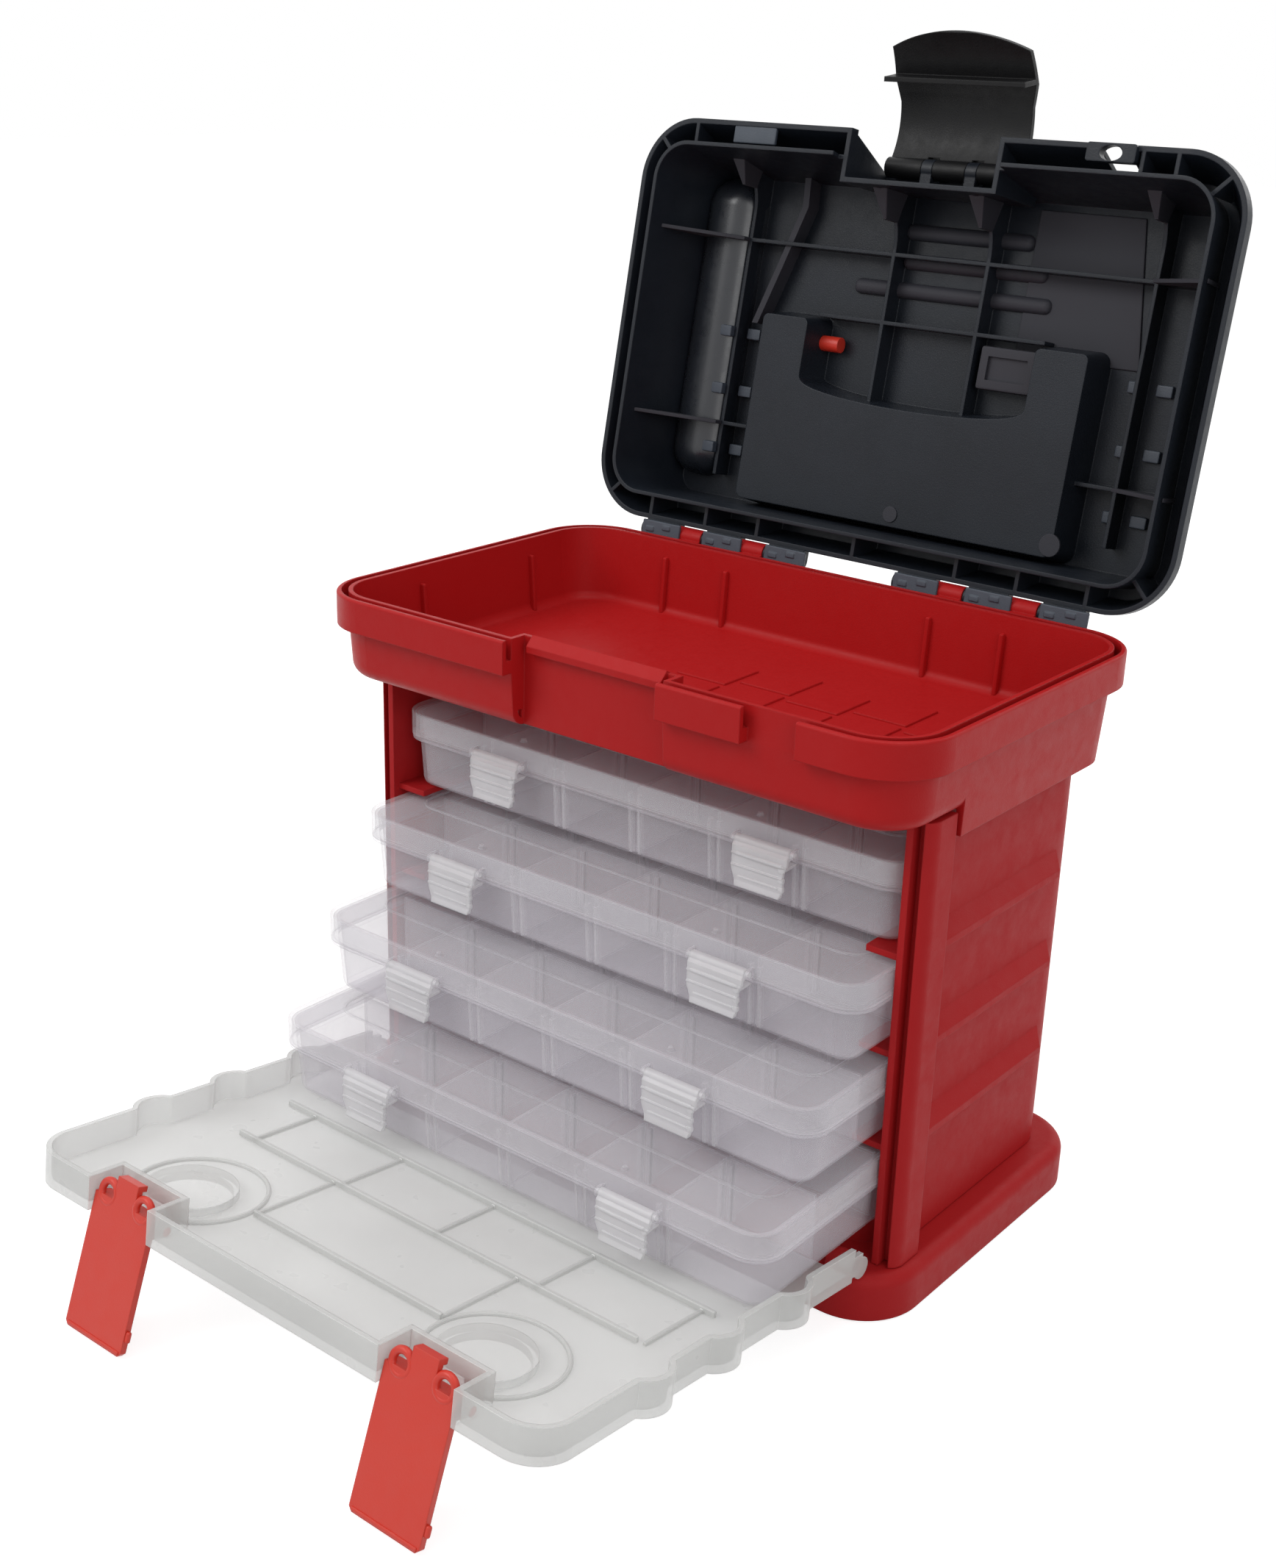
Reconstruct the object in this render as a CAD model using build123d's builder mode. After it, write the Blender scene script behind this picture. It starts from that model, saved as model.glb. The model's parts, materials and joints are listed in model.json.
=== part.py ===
from build123d import *
from math import cos, radians, sin, tan
import os

os.makedirs("parts", exist_ok=True)

# A rack tool box: a lidded top tray over a rack of four sliding organizer boxes, with a clear
# fold-down front door. It is modelled as it stands open: lid up, door down, boxes pulled out in
# steps. X is to the right, Y to the back, Z up, and the origin is on the ground under the tray.

# Organizer boxes, in millimetres
BOX_WIDTH = 240.0
BOX_DEPTH = 121.0
BOX_HEIGHT = 32.4
BOX_SPACE = 5.0
BOX_SIDE_GAP = 0.8
BOX_BACK_GAP = 4.3
BOX_FRONT_CLOSED = -52.5
BOX_STEP = 23.9
BOX_CORNER = 12.0
BOX_SKIN = 1.4
BOX_BAND = 10.0
BOX_INSET = 2.6
BOX_DRAFT = 4.0
BOX_FOOT_ROUND = 3.5
BOX_END_MARGIN = 7.8
BOX_DIVIDER_COLUMNS = (-2, -1, 0, 1, 2)
BOX_ROWS = 3
BOX_SEAT_GAP = 0.2
DIVIDER_THICK = 1.2
DIVIDER_DROP = 3.0
BEAD_INSET_FRONT = 20.0
BEAD_INSET_SIDE = 12.0
BEAD_HEIGHT = 0.5
BEAD_WIDTH = 1.0
BEAD_CORNER = 10.0
BOX_LATCH_X = 63.8
BOX_LATCH_WIDTH = 23.6
BOX_LATCH_FOOT = 18.4
BOX_LATCH_DROP = 24.2
BOX_LATCH_REACH = 5.4
BOX_LATCH_SKIN = 1.3
BOX_LATCH_PIVOT_OUT = 2.6
BOX_LATCH_PIVOT_DROP = 7.5
BOX_LATCH_BARREL = 1.9
BOX_LATCH_PIN = 1.0
BOX_LATCH_EAR = 1.4
PIP_X = 56.6
PIP_SETBACK = 4.7
PIP_RADIUS = 1.6
PIP_HEIGHT = 1.4

# Rack walls, posts, outer fins and inner ledges
RACK_WALL = 2.2
RACK_CORNER = 20.0
FIT_GAP = 0.3
FIN_DEPTH = 5.0
FIN_HEIGHT = 11.5
FIN_LIP_TOP = 6.3
FIN_LIP_FOOT = 3.5
FIN_TIP = 7.0
FIN_SETBACK = 21.0
FIN_RISE = 4.5
LEDGE_REACH = 14.0
LEDGE_THICK = 2.4
POST_LEAD = 3.0
POST_LENGTH = 16.7
POST_STAND = 7.2
POST_CORNER = 6.5
POST_LIP = 2.6
POST_GROOVE_WIDTH = 3.6
POST_GROOVE_DEPTH = 5.0
WALL_LAP = 10.0

# Base
BASE_SIDE = 11.5
BASE_LEAD = 17.5
BASE_REAR = 9.0
BASE_HEIGHT = 18.0
BASE_CORNER = 25.0
BASE_EDGE = 5.0
BASE_WALL = 2.5
BASE_RIB_SPACING = 44.0
DECK_TOP = 28.0
DECK_SETBACK = 4.5

# Top tray, its skirt and its catch
TRAY_SPACE = 18.7
TRAY_HEIGHT = 34.1
TRAY_SIDE = 9.75
TRAY_REAR = 4.05
TRAY_CORNER = 21.0
TRAY_WALL = 1.8
TRAY_FLOOR = 2.2
TRAY_DRAFT = 4.0
TRAY_ROUND = 6.0
TRAY_INNER_ROUND = 4.0
SKIRT_DROP = 9.5
SKIRT_GAP = 5.4
RIM_STAND = 4.75
RIM_HEIGHT = 13.0
RIM_CORNER = 26.0
RIM_WALL = 2.0
CHANNEL_DEPTH = 8.0
RECESS_HALF = 35.0
RECESS_DEPTH = 11.8
CATCH_HALF = 31.0
CATCH_REACH = 3.5
CATCH_RISE = 1.0
CATCH_LIP_HEIGHT = 2.5
CATCH_DROP = 6.1
PADLOCK_X = 82.0
PADLOCK_WIDTH = 22.0

# Lid hinge
HINGE_OUT = 5.1
HINGE_RISE = 0.4
HINGE_BARREL = 3.8
HINGE_PIN = 2.0
PIN_CLEARANCE = 0.08
LID_ARM_X = (32.0, 65.0, 98.0)
LID_ARM_WIDTH = 18.0
TRAY_KNUCKLE_X = (48.5, 81.5)
TRAY_KNUCKLE_WIDTH = 14.0
HINGE_PIN_START = 23.0
HINGE_PIN_END = 107.0

# Lid: lengths along the lid from the hinge, depths from its open edge to its roof
LID_LEAN = 11.3
LID_SIDE = 1.0
LID_LEAD = 2.6
LID_START = 4.2
LID_BAND = 5.0
LID_STEP = 2.0
LID_DEPTH = 41.0
LID_CORNER = 26.0
LID_WALL = 2.0
LID_ROOF = 2.5
LID_ROUND = 5.0
ROOF_INSET = 17.3
ROOF_INSET_HINGE = 6.0
LID_CHANNEL_DEPTH = 18.0
TONGUE_INSET = 10.0
TONGUE_RISE = 4.5
TONGUE_GAP = 1.5
LID_RIB = 1.6
CEILING_INSET = 18.6
CEILING_INSET_HINGE = 13.0
LID_RIB_DEPTH = 29.0
RIB_CURVE = 22.0
CENTRE_RIB_X = 22.4
OUTER_RIB_X = 96.0
CROSS_RIB_W = 130.0
SIDE_RIB_W = 50.0
WEB_X = (-112.0, 94.0, 108.0)
HINGE_WEB_X = (-106.0, -76.0, -48.5, 0.0, 48.5, 76.0, 106.0)
TAB_WIDTH = 20.0
TAB_RISE = 2.4
TAB_LENGTH = 6.8
TAB_HOLE = (9.3, 5.7)
TAB_HOLE_SETBACK = 3.6
WELL_HALF = 80.0
WELL_START = 17.0
WELL_END = 102.0
WELL_NOTCH_HALF = 52.0
WELL_NOTCH_START = 76.0
WELL_NOTCH_SAG = 6.0
WELL_CORNER = 6.0
WELL_DEPTH = 21.5
WELL_DRAFT = 8.0
WELL_SKIN = 2.0
BULGE_INSET = 30.5
BULGE_W = 98.0
BULGE_LENGTH = 104.0
BULGE_WIDTH = 22.0
BULGE_RISE = 8.0
BULGE_ROUND = 6.0

# Carry handle in the roof of the lid
HANDLE_PIVOT_W = 90.5
HANDLE_PIVOT_DEPTH = 34.5
HANDLE_THICK = 8.0
HANDLE_END_W = 23.5
HANDLE_GRIP = 19.0
HANDLE_CORNER = 9.0
HANDLE_ARM_INNER = 56.5
HANDLE_ARM_OUTER = 76.0
HANDLE_STUB = 3.3
HANDLE_STUB_END = 45.0

# Lid latch: lengths from its pivot along the flap, heights from the pivot towards its face
LATCH_BEHIND_CATCH = 3.6
LATCH_PIVOT_DEPTH = 27.0
LATCH_TILT = 18.0
LATCH_PIN = 1.6
LATCH_BARREL = 4.2
LATCH_HALF = 30.4
LATCH_TIP_HALF = 32.3
LATCH_CORNER_R = 47.0
LATCH_HOOK_THICK = 2.0
LATCH_HOOK_GAP = 0.5
LATCH_HOOK_REACH = 1.8
NOTCH_HALF = 34.0
NOTCH_LENGTH = 19.3
NOTCH_DEPTH = 32.0
LATCH_EAR_X = 10.3
LATCH_EAR_WIDTH = 5.0

# Front door: lengths along the door from its hinge, depths outwards from the hinge line
DOOR_TILT = 7.2
DOOR_SETBACK = 4.0
DOOR_PIVOT_Z = 22.5
DOOR_PIN = 2.5
DOOR_EAR = 4.2
DOOR_EAR_INSET = 10.2
DOOR_EAR_WIDTH = 5.0
DOOR_START = 5.5
DOOR_OUT = 4.0
DOOR_SKIN = 2.0
DOOR_FLANGE = 13.0
DOOR_CORNER = 15.0
BUMP_LENGTHS = (43.0, 83.0, 120.0)
BUMP_RISE = 4.5
BUMP_RADIUS = 11.2
FINGER_RADIUS = 17.0
FINGER_RISE = 3.0
FINGER_SETBACK = 25.0

# Door latches
FLAP_X = 72.0
FLAP_HALF = 15.3
FLAP_LENGTH = 46.2
FLAP_ANGLE = 103.0
FLAP_SKIN = 2.4
FLAP_BARREL = 3.4
FLAP_PIN = 1.8
FLAP_SETBACK = 7.5
FLAP_PIVOT_OUT = 1.0
FLAP_TAB_HALF = 5.5
FLAP_TAB_RISE = 12.0
POCKET_HALF = 16.0
POCKET_BEHIND = 7.0
POCKET_WALL = 2.0

# Places that follow from the sizes above
RACK_WIDTH = BOX_WIDTH + 2 * (BOX_SIDE_GAP + RACK_WALL)
RACK_BACK = BOX_FRONT_CLOSED + BOX_DEPTH + BOX_BACK_GAP + RACK_WALL
RACK_HALF = RACK_WIDTH / 2
RACK_INNER = RACK_HALF - RACK_WALL
BASE_WIDTH = RACK_WIDTH + 2 * BASE_SIDE
BASE_FRONT = BOX_FRONT_CLOSED - BASE_LEAD
BASE_BACK = RACK_BACK + BASE_REAR
BASE_MID = (BASE_FRONT + BASE_BACK) / 2
BASE_DEPTH = BASE_BACK - BASE_FRONT
DECK_FRONT = BOX_FRONT_CLOSED + DECK_SETBACK
BOX_PITCH = BOX_HEIGHT + BOX_SPACE
BOX_COLUMN = (BOX_WIDTH - 2 * BOX_END_MARGIN) / (len(BOX_DIVIDER_COLUMNS) + 1)
BOX_BOTTOM = [DECK_TOP + BOX_SEAT_GAP + BOX_PITCH * n for n in (3, 2, 1, 0)]
BOX_FRONT = [BOX_FRONT_CLOSED - BOX_STEP * n for n in (0, 1, 2, 3)]
POST_FRONT = BOX_FRONT_CLOSED - POST_LEAD
POST_BACK = POST_FRONT + POST_LENGTH
FIN_END = RACK_BACK - FIN_SETBACK
WALL_FOOT = BASE_HEIGHT + FIT_GAP
SPLIT_X = RACK_HALF - RACK_CORNER
TRAY_BOTTOM = BOX_BOTTOM[0] + BOX_HEIGHT + TRAY_SPACE
RACK_TOP = TRAY_BOTTOM - FIT_GAP
RIM_TOP = TRAY_BOTTOM + TRAY_HEIGHT
TRAY_WIDTH = RACK_WIDTH + 2 * TRAY_SIDE
TRAY_DEPTH = 2 * (RACK_BACK + TRAY_REAR)
SKIRT_BOTTOM = TRAY_BOTTOM - SKIRT_DROP
SKIRT_FRONT = POST_BACK + FIT_GAP
RIM_WIDTH = TRAY_WIDTH + 2 * RIM_STAND
RIM_DEPTH = TRAY_DEPTH + 2 * RIM_STAND
RECESS_BACK = -RIM_DEPTH / 2 + RECESS_DEPTH
HINGE_Y = RIM_DEPTH / 2 + HINGE_OUT
HINGE_Z = RIM_TOP + HINGE_RISE
LID_WIDTH = RIM_WIDTH + 2 * LID_SIDE
LID_END = HINGE_Y + RIM_DEPTH / 2 + LID_LEAD
LID_CEILING = LID_DEPTH - LID_ROOF
NOTCH_W = LID_END - NOTCH_LENGTH
LATCH_PIVOT_W = HINGE_Y - RECESS_BACK + LATCH_BEHIND_CATCH
CATCH_BOTTOM = RIM_TOP - CATCH_DROP
LATCH_HOOK_R = HINGE_Z + LATCH_PIVOT_DEPTH - CATCH_BOTTOM + LATCH_HOOK_GAP
DOOR_PIVOT_Y = BASE_FRONT + DOOR_SETBACK
DOOR_WIDTH = RACK_WIDTH
DOOR_EAR_X = DOOR_WIDTH / 2 - DOOR_EAR_INSET
DOOR_LENGTH = TRAY_BOTTOM - DOOR_PIVOT_Z
FLAP_PIVOT_T = DOOR_START + DOOR_LENGTH - FLAP_SETBACK
POCKET_START = FLAP_PIVOT_T - POCKET_BEHIND
FINGER_T = FLAP_PIVOT_T - FINGER_SETBACK
LID_PLANE = Plane(
    origin=(0, HINGE_Y, HINGE_Z),
    x_dir=(1, 0, 0),
    z_dir=(0, -cos(radians(LID_LEAN)), sin(radians(LID_LEAN))),
)
LATCH_PLANE = Plane(
    origin=LID_PLANE.from_local_coords((0, LATCH_PIVOT_W, -LATCH_PIVOT_DEPTH)),
    x_dir=(1, 0, 0),
    z_dir=LID_PLANE.z_dir * cos(radians(LATCH_TILT)) - LID_PLANE.y_dir * sin(radians(LATCH_TILT)),
)
DOOR_PLANE = Plane(
    origin=(0, DOOR_PIVOT_Y, DOOR_PIVOT_Z),
    x_dir=(1, 0, 0),
    z_dir=(0, -sin(radians(DOOR_TILT)), -cos(radians(DOOR_TILT))),
)


def side_plane(frame, x):
    """The plane across a frame at x: its own X is the frame's Y, its own Y the frame's Z."""
    return Plane(origin=frame.from_local_coords((x, 0, 0)), x_dir=frame.y_dir, z_dir=frame.x_dir)


def cross_plane(frame, y):
    """The plane across a frame at y: its own X is the frame's X, its own Y runs against its Z."""
    return Plane(origin=frame.from_local_coords((0, y, 0)), x_dir=frame.x_dir, z_dir=frame.y_dir)


def save(piece, name):
    """Label one piece and write it out."""
    piece.part.label = name
    export_step(piece.part, "parts/" + name + ".step")


# Base: a hollow foot with a raised deck for the lowest box and two ears for the door
deck_back = RACK_BACK - RACK_WALL - FIT_GAP
deck_mid = (deck_back + DECK_FRONT) / 2
deck_depth = deck_back - DECK_FRONT
deck_width = 2 * (RACK_INNER - FIT_GAP)
with BuildPart() as base:
    with BuildSketch(Plane.XY):
        with Locations((0, BASE_MID)):
            RectangleRounded(BASE_WIDTH, BASE_DEPTH, BASE_CORNER)
    extrude(amount=BASE_HEIGHT)
    fillet(base.faces().sort_by(Axis.Z)[-1].edges(), BASE_EDGE)
    with BuildSketch(Plane.XY.offset(BASE_HEIGHT)):
        with Locations((0, deck_mid)):
            RectangleRounded(deck_width, deck_depth, RACK_CORNER - RACK_WALL)
    extrude(amount=DECK_TOP - BASE_HEIGHT)
    with BuildSketch(Plane.XY):
        with Locations((0, BASE_MID)):
            RectangleRounded(
                BASE_WIDTH - 2 * BASE_WALL, BASE_DEPTH - 2 * BASE_WALL, BASE_CORNER - BASE_WALL
            )
    extrude(amount=BASE_HEIGHT - BASE_WALL - BASE_EDGE / 2, mode=Mode.SUBTRACT)
    with BuildSketch(Plane.XY):
        with Locations((0, deck_mid)):
            RectangleRounded(
                deck_width - 2 * BASE_WALL, deck_depth - 2 * BASE_WALL, RACK_CORNER / 2
            )
    extrude(amount=DECK_TOP - BASE_WALL, mode=Mode.SUBTRACT)
    with BuildSketch(Plane.XY):
        for n in (-2, -1, 0, 1, 2):
            with Locations((n * BASE_RIB_SPACING, BASE_MID)):
                Rectangle(BASE_WALL, BASE_DEPTH - BASE_WALL)
        for n in (-1, 0, 1):
            with Locations((0, n * BASE_RIB_SPACING)):
                Rectangle(BASE_WIDTH - BASE_WALL, BASE_WALL)
    extrude(amount=BASE_HEIGHT - BASE_EDGE - 1)
    for side in (-1, 1):
        with BuildSketch(Plane.YZ.offset(side * DOOR_EAR_X - DOOR_EAR_WIDTH / 2)):
            with Locations((DOOR_PIVOT_Y, DOOR_PIVOT_Z)):
                Circle(DOOR_EAR)
            with Locations((DOOR_PIVOT_Y, (DOOR_PIVOT_Z + BASE_HEIGHT - BASE_EDGE) / 2)):
                Rectangle(2 * DOOR_EAR, DOOR_PIVOT_Z - BASE_HEIGHT + BASE_EDGE)
            with Locations((DOOR_PIVOT_Y, DOOR_PIVOT_Z)):
                Circle(DOOR_PIN + PIN_CLEARANCE, mode=Mode.SUBTRACT)
        extrude(amount=DOOR_EAR_WIDTH)
save(base, "base")


def side_wall(side):
    """One side of the rack: post, wall with rounded rear corner, outer fins and inner ledges."""
    wall_top = RACK_TOP - WALL_FOOT
    post_outer = RACK_HALF + POST_STAND
    post_inner = RACK_INNER
    post_mid = (POST_FRONT + POST_BACK) / 2
    with BuildPart() as wall:
        # The wall itself, cut out of a block with a rounded rear corner
        with BuildSketch(Plane.XY.offset(WALL_FOOT)):
            with Locations((side * RACK_HALF / 2, (post_mid + RACK_BACK) / 2)):
                Rectangle(RACK_HALF, RACK_BACK - post_mid)
        extrude(amount=wall_top)
        corner = wall.edges().filter_by(Axis.Z).filter_by_position(
            Axis.Y, RACK_BACK - 1, RACK_BACK + 1
        )
        fillet(corner.sort_by(Axis.X)[-1 if side > 0 else 0], RACK_CORNER)
        # Front post with a round outer corner
        with BuildSketch(Plane.XY.offset(WALL_FOOT)):
            with Locations((side * (post_inner + post_outer) / 2, post_mid)):
                Rectangle(post_outer - post_inner, POST_LENGTH)
        extrude(amount=wall_top)
        outer = wall.edges().filter_by(Axis.Z).filter_by_position(
            Axis.Y, POST_FRONT - 1, POST_FRONT + 1
        )
        fillet(outer.sort_by(Axis.X)[-1 if side > 0 else 0], POST_CORNER)
        # Fins along the outside, level with the ledges, each with a sloping top and a thin tip
        for bottom in BOX_BOTTOM[:3]:
            foot = bottom - BOX_SEAT_GAP - FIN_RISE
            with BuildSketch(Plane.XZ.offset(-FIN_END)):
                Polygon(
                    (side * (RACK_HALF - RACK_WALL / 2), foot),
                    (side * RACK_HALF, foot),
                    (side * (RACK_HALF + FIN_DEPTH), foot + FIN_LIP_FOOT),
                    (side * (RACK_HALF + FIN_DEPTH), foot + FIN_LIP_TOP),
                    (side * RACK_HALF, foot + FIN_HEIGHT),
                    (side * (RACK_HALF - RACK_WALL / 2), foot + FIN_HEIGHT),
                    align=None,
                )
            extrude(amount=FIN_END - post_mid)
        with BuildSketch(Plane.XY.offset(WALL_FOOT)):
            Polygon(
                (side * RACK_HALF, FIN_END),
                (side * (RACK_HALF + FIN_DEPTH + 1), FIN_END - FIN_TIP),
                (side * (RACK_HALF + FIN_DEPTH + 1), FIN_END + 1),
                (side * RACK_HALF, FIN_END + 1),
                align=None,
            )
        extrude(amount=wall_top, mode=Mode.SUBTRACT)
        # The space for the boxes
        with BuildSketch(Plane.XY.offset(WALL_FOOT)):
            with Locations((0, (RACK_BACK - RACK_WALL + POST_FRONT * 2) / 2)):
                RectangleRounded(
                    2 * RACK_INNER, RACK_BACK - RACK_WALL - POST_FRONT * 2, RACK_CORNER - RACK_WALL
                )
        extrude(amount=wall_top, mode=Mode.SUBTRACT)
        with BuildSketch(Plane.XY.offset(WALL_FOOT)):
            with Locations((side * (SPLIT_X - FIT_GAP / 2) / 2, RACK_BACK)):
                Rectangle(SPLIT_X - FIT_GAP / 2, 4 * RACK_WALL)
        extrude(amount=wall_top, mode=Mode.SUBTRACT)
        # Ledges that carry the upper three boxes
        for bottom in BOX_BOTTOM[:3]:
            ledge_x = side * (RACK_INNER - LEDGE_REACH / 2 + RACK_WALL / 4)
            with BuildSketch(Plane.XY.offset(bottom - BOX_SEAT_GAP - LEDGE_THICK)):
                with Locations((ledge_x, (BOX_FRONT_CLOSED + SPLIT_X / 2) / 2)):
                    Rectangle(LEDGE_REACH + RACK_WALL / 2, SPLIT_X / 2 - BOX_FRONT_CLOSED)
            extrude(amount=LEDGE_THICK)
        # A groove down the front of the post, beside its inner lip
        with BuildSketch(Plane.XY.offset(WALL_FOOT)):
            with Locations((side * (post_inner + POST_LIP + POST_GROOVE_WIDTH / 2), POST_FRONT)):
                Rectangle(POST_GROOVE_WIDTH, 2 * POST_GROOVE_DEPTH)
        extrude(amount=wall_top, mode=Mode.SUBTRACT)
    return wall


side_wall_left = side_wall(-1)
save(side_wall_left, "side_wall_left")
side_wall_right = side_wall(1)
save(side_wall_right, "side_wall_right")

# Back wall: a flat panel with a thicker middle that stops below the skirt of the tray
with BuildPart() as back_wall:
    with BuildSketch(Plane.XY.offset(WALL_FOOT)):
        with Locations((0, RACK_BACK - RACK_WALL / 2)):
            Rectangle(2 * (SPLIT_X - FIT_GAP), RACK_WALL)
    extrude(amount=RACK_TOP - WALL_FOOT)
    with BuildSketch(Plane.XY.offset(WALL_FOOT)):
        with Locations((0, RACK_BACK)):
            Rectangle(2 * (SPLIT_X - 2 * WALL_LAP), 2 * RACK_WALL)
    extrude(amount=SKIRT_BOTTOM - FIT_GAP - WALL_FOOT)
    for bottom in BOX_BOTTOM[:3]:
        with BuildSketch(Plane.XY.offset(bottom - BOX_SEAT_GAP - FIN_RISE)):
            with Locations((0, RACK_BACK + FIN_DEPTH / 4)):
                Rectangle(2 * (SPLIT_X - WALL_LAP), FIN_DEPTH / 2 + RACK_WALL)
        extrude(amount=FIN_HEIGHT)
save(back_wall, "back_wall")

# Top tray: body, skirt, rim with its channel, latch recess and catch, padlock notch, knuckles
with BuildPart() as tray_hollow:
    with BuildSketch(Plane.XY.offset(RIM_TOP)):
        RectangleRounded(
            TRAY_WIDTH - 2 * TRAY_WALL, TRAY_DEPTH - 2 * TRAY_WALL, TRAY_CORNER - TRAY_WALL
        )
    extrude(amount=-(TRAY_HEIGHT - TRAY_FLOOR), taper=TRAY_DRAFT)
    fillet(tray_hollow.faces().sort_by(Axis.Z)[0].edges(), TRAY_INNER_ROUND)

with BuildPart() as top_tray:
    rim_foot = RIM_TOP - RIM_HEIGHT
    with BuildSketch(Plane.XY.offset(rim_foot)):
        RectangleRounded(TRAY_WIDTH, TRAY_DEPTH, TRAY_CORNER)
    extrude(amount=-(rim_foot - TRAY_BOTTOM), taper=TRAY_DRAFT)
    fillet(top_tray.faces().sort_by(Axis.Z)[0].edges(), TRAY_ROUND)
    # The skirt hangs down behind the front posts, round the sides and the back of the rack
    with BuildSketch(Plane.XY.offset(rim_foot)):
        RectangleRounded(TRAY_WIDTH, TRAY_DEPTH, TRAY_CORNER)
        with Locations((0, SKIRT_FRONT - TRAY_DEPTH / 2)):
            Rectangle(TRAY_WIDTH, TRAY_DEPTH, mode=Mode.SUBTRACT)
    extrude(amount=-(rim_foot - SKIRT_BOTTOM), taper=TRAY_DRAFT)
    with BuildSketch(Plane.XY.offset(SKIRT_BOTTOM)):
        RectangleRounded(
            2 * (RACK_HALF + SKIRT_GAP), 2 * (RACK_BACK + FIT_GAP), RACK_CORNER
        )
    extrude(amount=SKIRT_DROP, mode=Mode.SUBTRACT)
    with BuildSketch(Plane.XY.offset(rim_foot)):
        RectangleRounded(RIM_WIDTH, RIM_DEPTH, RIM_CORNER)
    extrude(amount=RIM_HEIGHT)
    fillet(
        top_tray.faces().filter_by(Axis.Z).sort_by(Axis.Z)[-1].edges(), RIM_WALL / 2
    )
    with BuildSketch(Plane.XY.offset(RIM_TOP)):
        RectangleRounded(RIM_WIDTH - 2 * RIM_WALL, RIM_DEPTH - 2 * RIM_WALL, RIM_CORNER - RIM_WALL)
        RectangleRounded(TRAY_WIDTH, TRAY_DEPTH, TRAY_CORNER, mode=Mode.SUBTRACT)
    extrude(amount=-CHANNEL_DEPTH, mode=Mode.SUBTRACT)
    add(tray_hollow.part, mode=Mode.SUBTRACT)
    # The recess for the lid latch
    recess_inner = RECESS_BACK + TRAY_WALL
    recess_start = TRAY_ROUND - TRAY_DEPTH / 2
    with BuildSketch(Plane.XY.offset(TRAY_BOTTOM + TRAY_FLOOR / 2)):
        with Locations((0, (recess_inner + recess_start) / 2)):
            Rectangle(2 * (RECESS_HALF + TRAY_WALL), recess_inner - recess_start)
    extrude(amount=TRAY_HEIGHT - TRAY_FLOOR / 2)
    with BuildSketch(Plane.XY.offset(TRAY_BOTTOM + TRAY_ROUND)):
        with Locations((0, (recess_inner - TRAY_DEPTH / 2 + TRAY_WALL) / 2)):
            Rectangle(
                2 * (RECESS_HALF + TRAY_WALL), recess_inner + TRAY_DEPTH / 2 - TRAY_WALL
            )
    extrude(amount=TRAY_HEIGHT - TRAY_ROUND)
    with BuildSketch(Plane.XY.offset(TRAY_BOTTOM)):
        with Locations((0, RECESS_BACK - RIM_DEPTH / 4)):
            Rectangle(2 * RECESS_HALF, RIM_DEPTH / 2)
    extrude(amount=TRAY_HEIGHT, mode=Mode.SUBTRACT)
    with BuildSketch(Plane.YZ):
        Polygon(
            (recess_inner, RIM_TOP),
            (RECESS_BACK, RIM_TOP + CATCH_RISE),
            (RECESS_BACK - CATCH_REACH, CATCH_BOTTOM + CATCH_RISE + CATCH_LIP_HEIGHT),
            (RECESS_BACK - CATCH_REACH, CATCH_BOTTOM + CATCH_RISE),
            (RECESS_BACK, CATCH_BOTTOM),
            (recess_inner, CATCH_BOTTOM),
            align=None,
        )
    extrude(amount=CATCH_HALF, both=True)
    # A notch in the rim for the padlock tab of the lid
    with BuildSketch(Plane.XY.offset(RIM_TOP)):
        with Locations((PADLOCK_X, -RIM_DEPTH / 2)):
            Rectangle(PADLOCK_WIDTH, 2 * RIM_STAND)
    extrude(amount=-RIM_HEIGHT, mode=Mode.SUBTRACT)
    for side in (-1, 1):
        for x in TRAY_KNUCKLE_X:
            with BuildSketch(Plane.YZ.offset(side * x - TRAY_KNUCKLE_WIDTH / 2)):
                with Locations((HINGE_Y, HINGE_Z)):
                    Circle(HINGE_BARREL)
                Polygon(
                    (RIM_DEPTH / 2 - RIM_WALL / 2, rim_foot + 1),
                    (HINGE_Y, HINGE_Z - HINGE_BARREL),
                    (HINGE_Y, RIM_TOP - 0.2),
                    (RIM_DEPTH / 2 - RIM_WALL / 2, RIM_TOP - 0.2),
                    align=None,
                )
                with Locations((HINGE_Y, HINGE_Z)):
                    Circle(HINGE_PIN + PIN_CLEARANCE, mode=Mode.SUBTRACT)
            extrude(amount=TRAY_KNUCKLE_WIDTH)
save(top_tray, "top_tray")

# Hinge pins: one steel rod each side
with BuildPart() as lid_hinge_pins:
    for side in (-1, 1):
        with BuildSketch(Plane.YZ.offset(side * (HINGE_PIN_START + HINGE_PIN_END) / 2)):
            with Locations((HINGE_Y, HINGE_Z)):
                Circle(HINGE_PIN)
        extrude(amount=(HINGE_PIN_END - HINGE_PIN_START) / 2, both=True)
save(lid_hinge_pins, "lid_hinge_pins")


def well_outline(inset):
    """The plan of the handle well: a wide pocket with two horns beside a sagging notch."""
    half = WELL_HALF - inset
    notch = WELL_NOTCH_HALF + inset
    start = WELL_START + inset
    top = WELL_NOTCH_START - inset
    middle = (start + top) / 2
    horn_end = WELL_END - inset
    with Locations((0, middle)):
        RectangleRounded(2 * half, top - start, WELL_CORNER)
    with Locations((0, top)):
        Ellipse(notch, WELL_NOTCH_SAG, mode=Mode.SUBTRACT)
    for side in (-1, 1):
        with Locations((side * (half + notch) / 2, (middle + horn_end) / 2)):
            RectangleRounded(half - notch, horn_end - middle, WELL_CORNER - 1)


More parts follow.
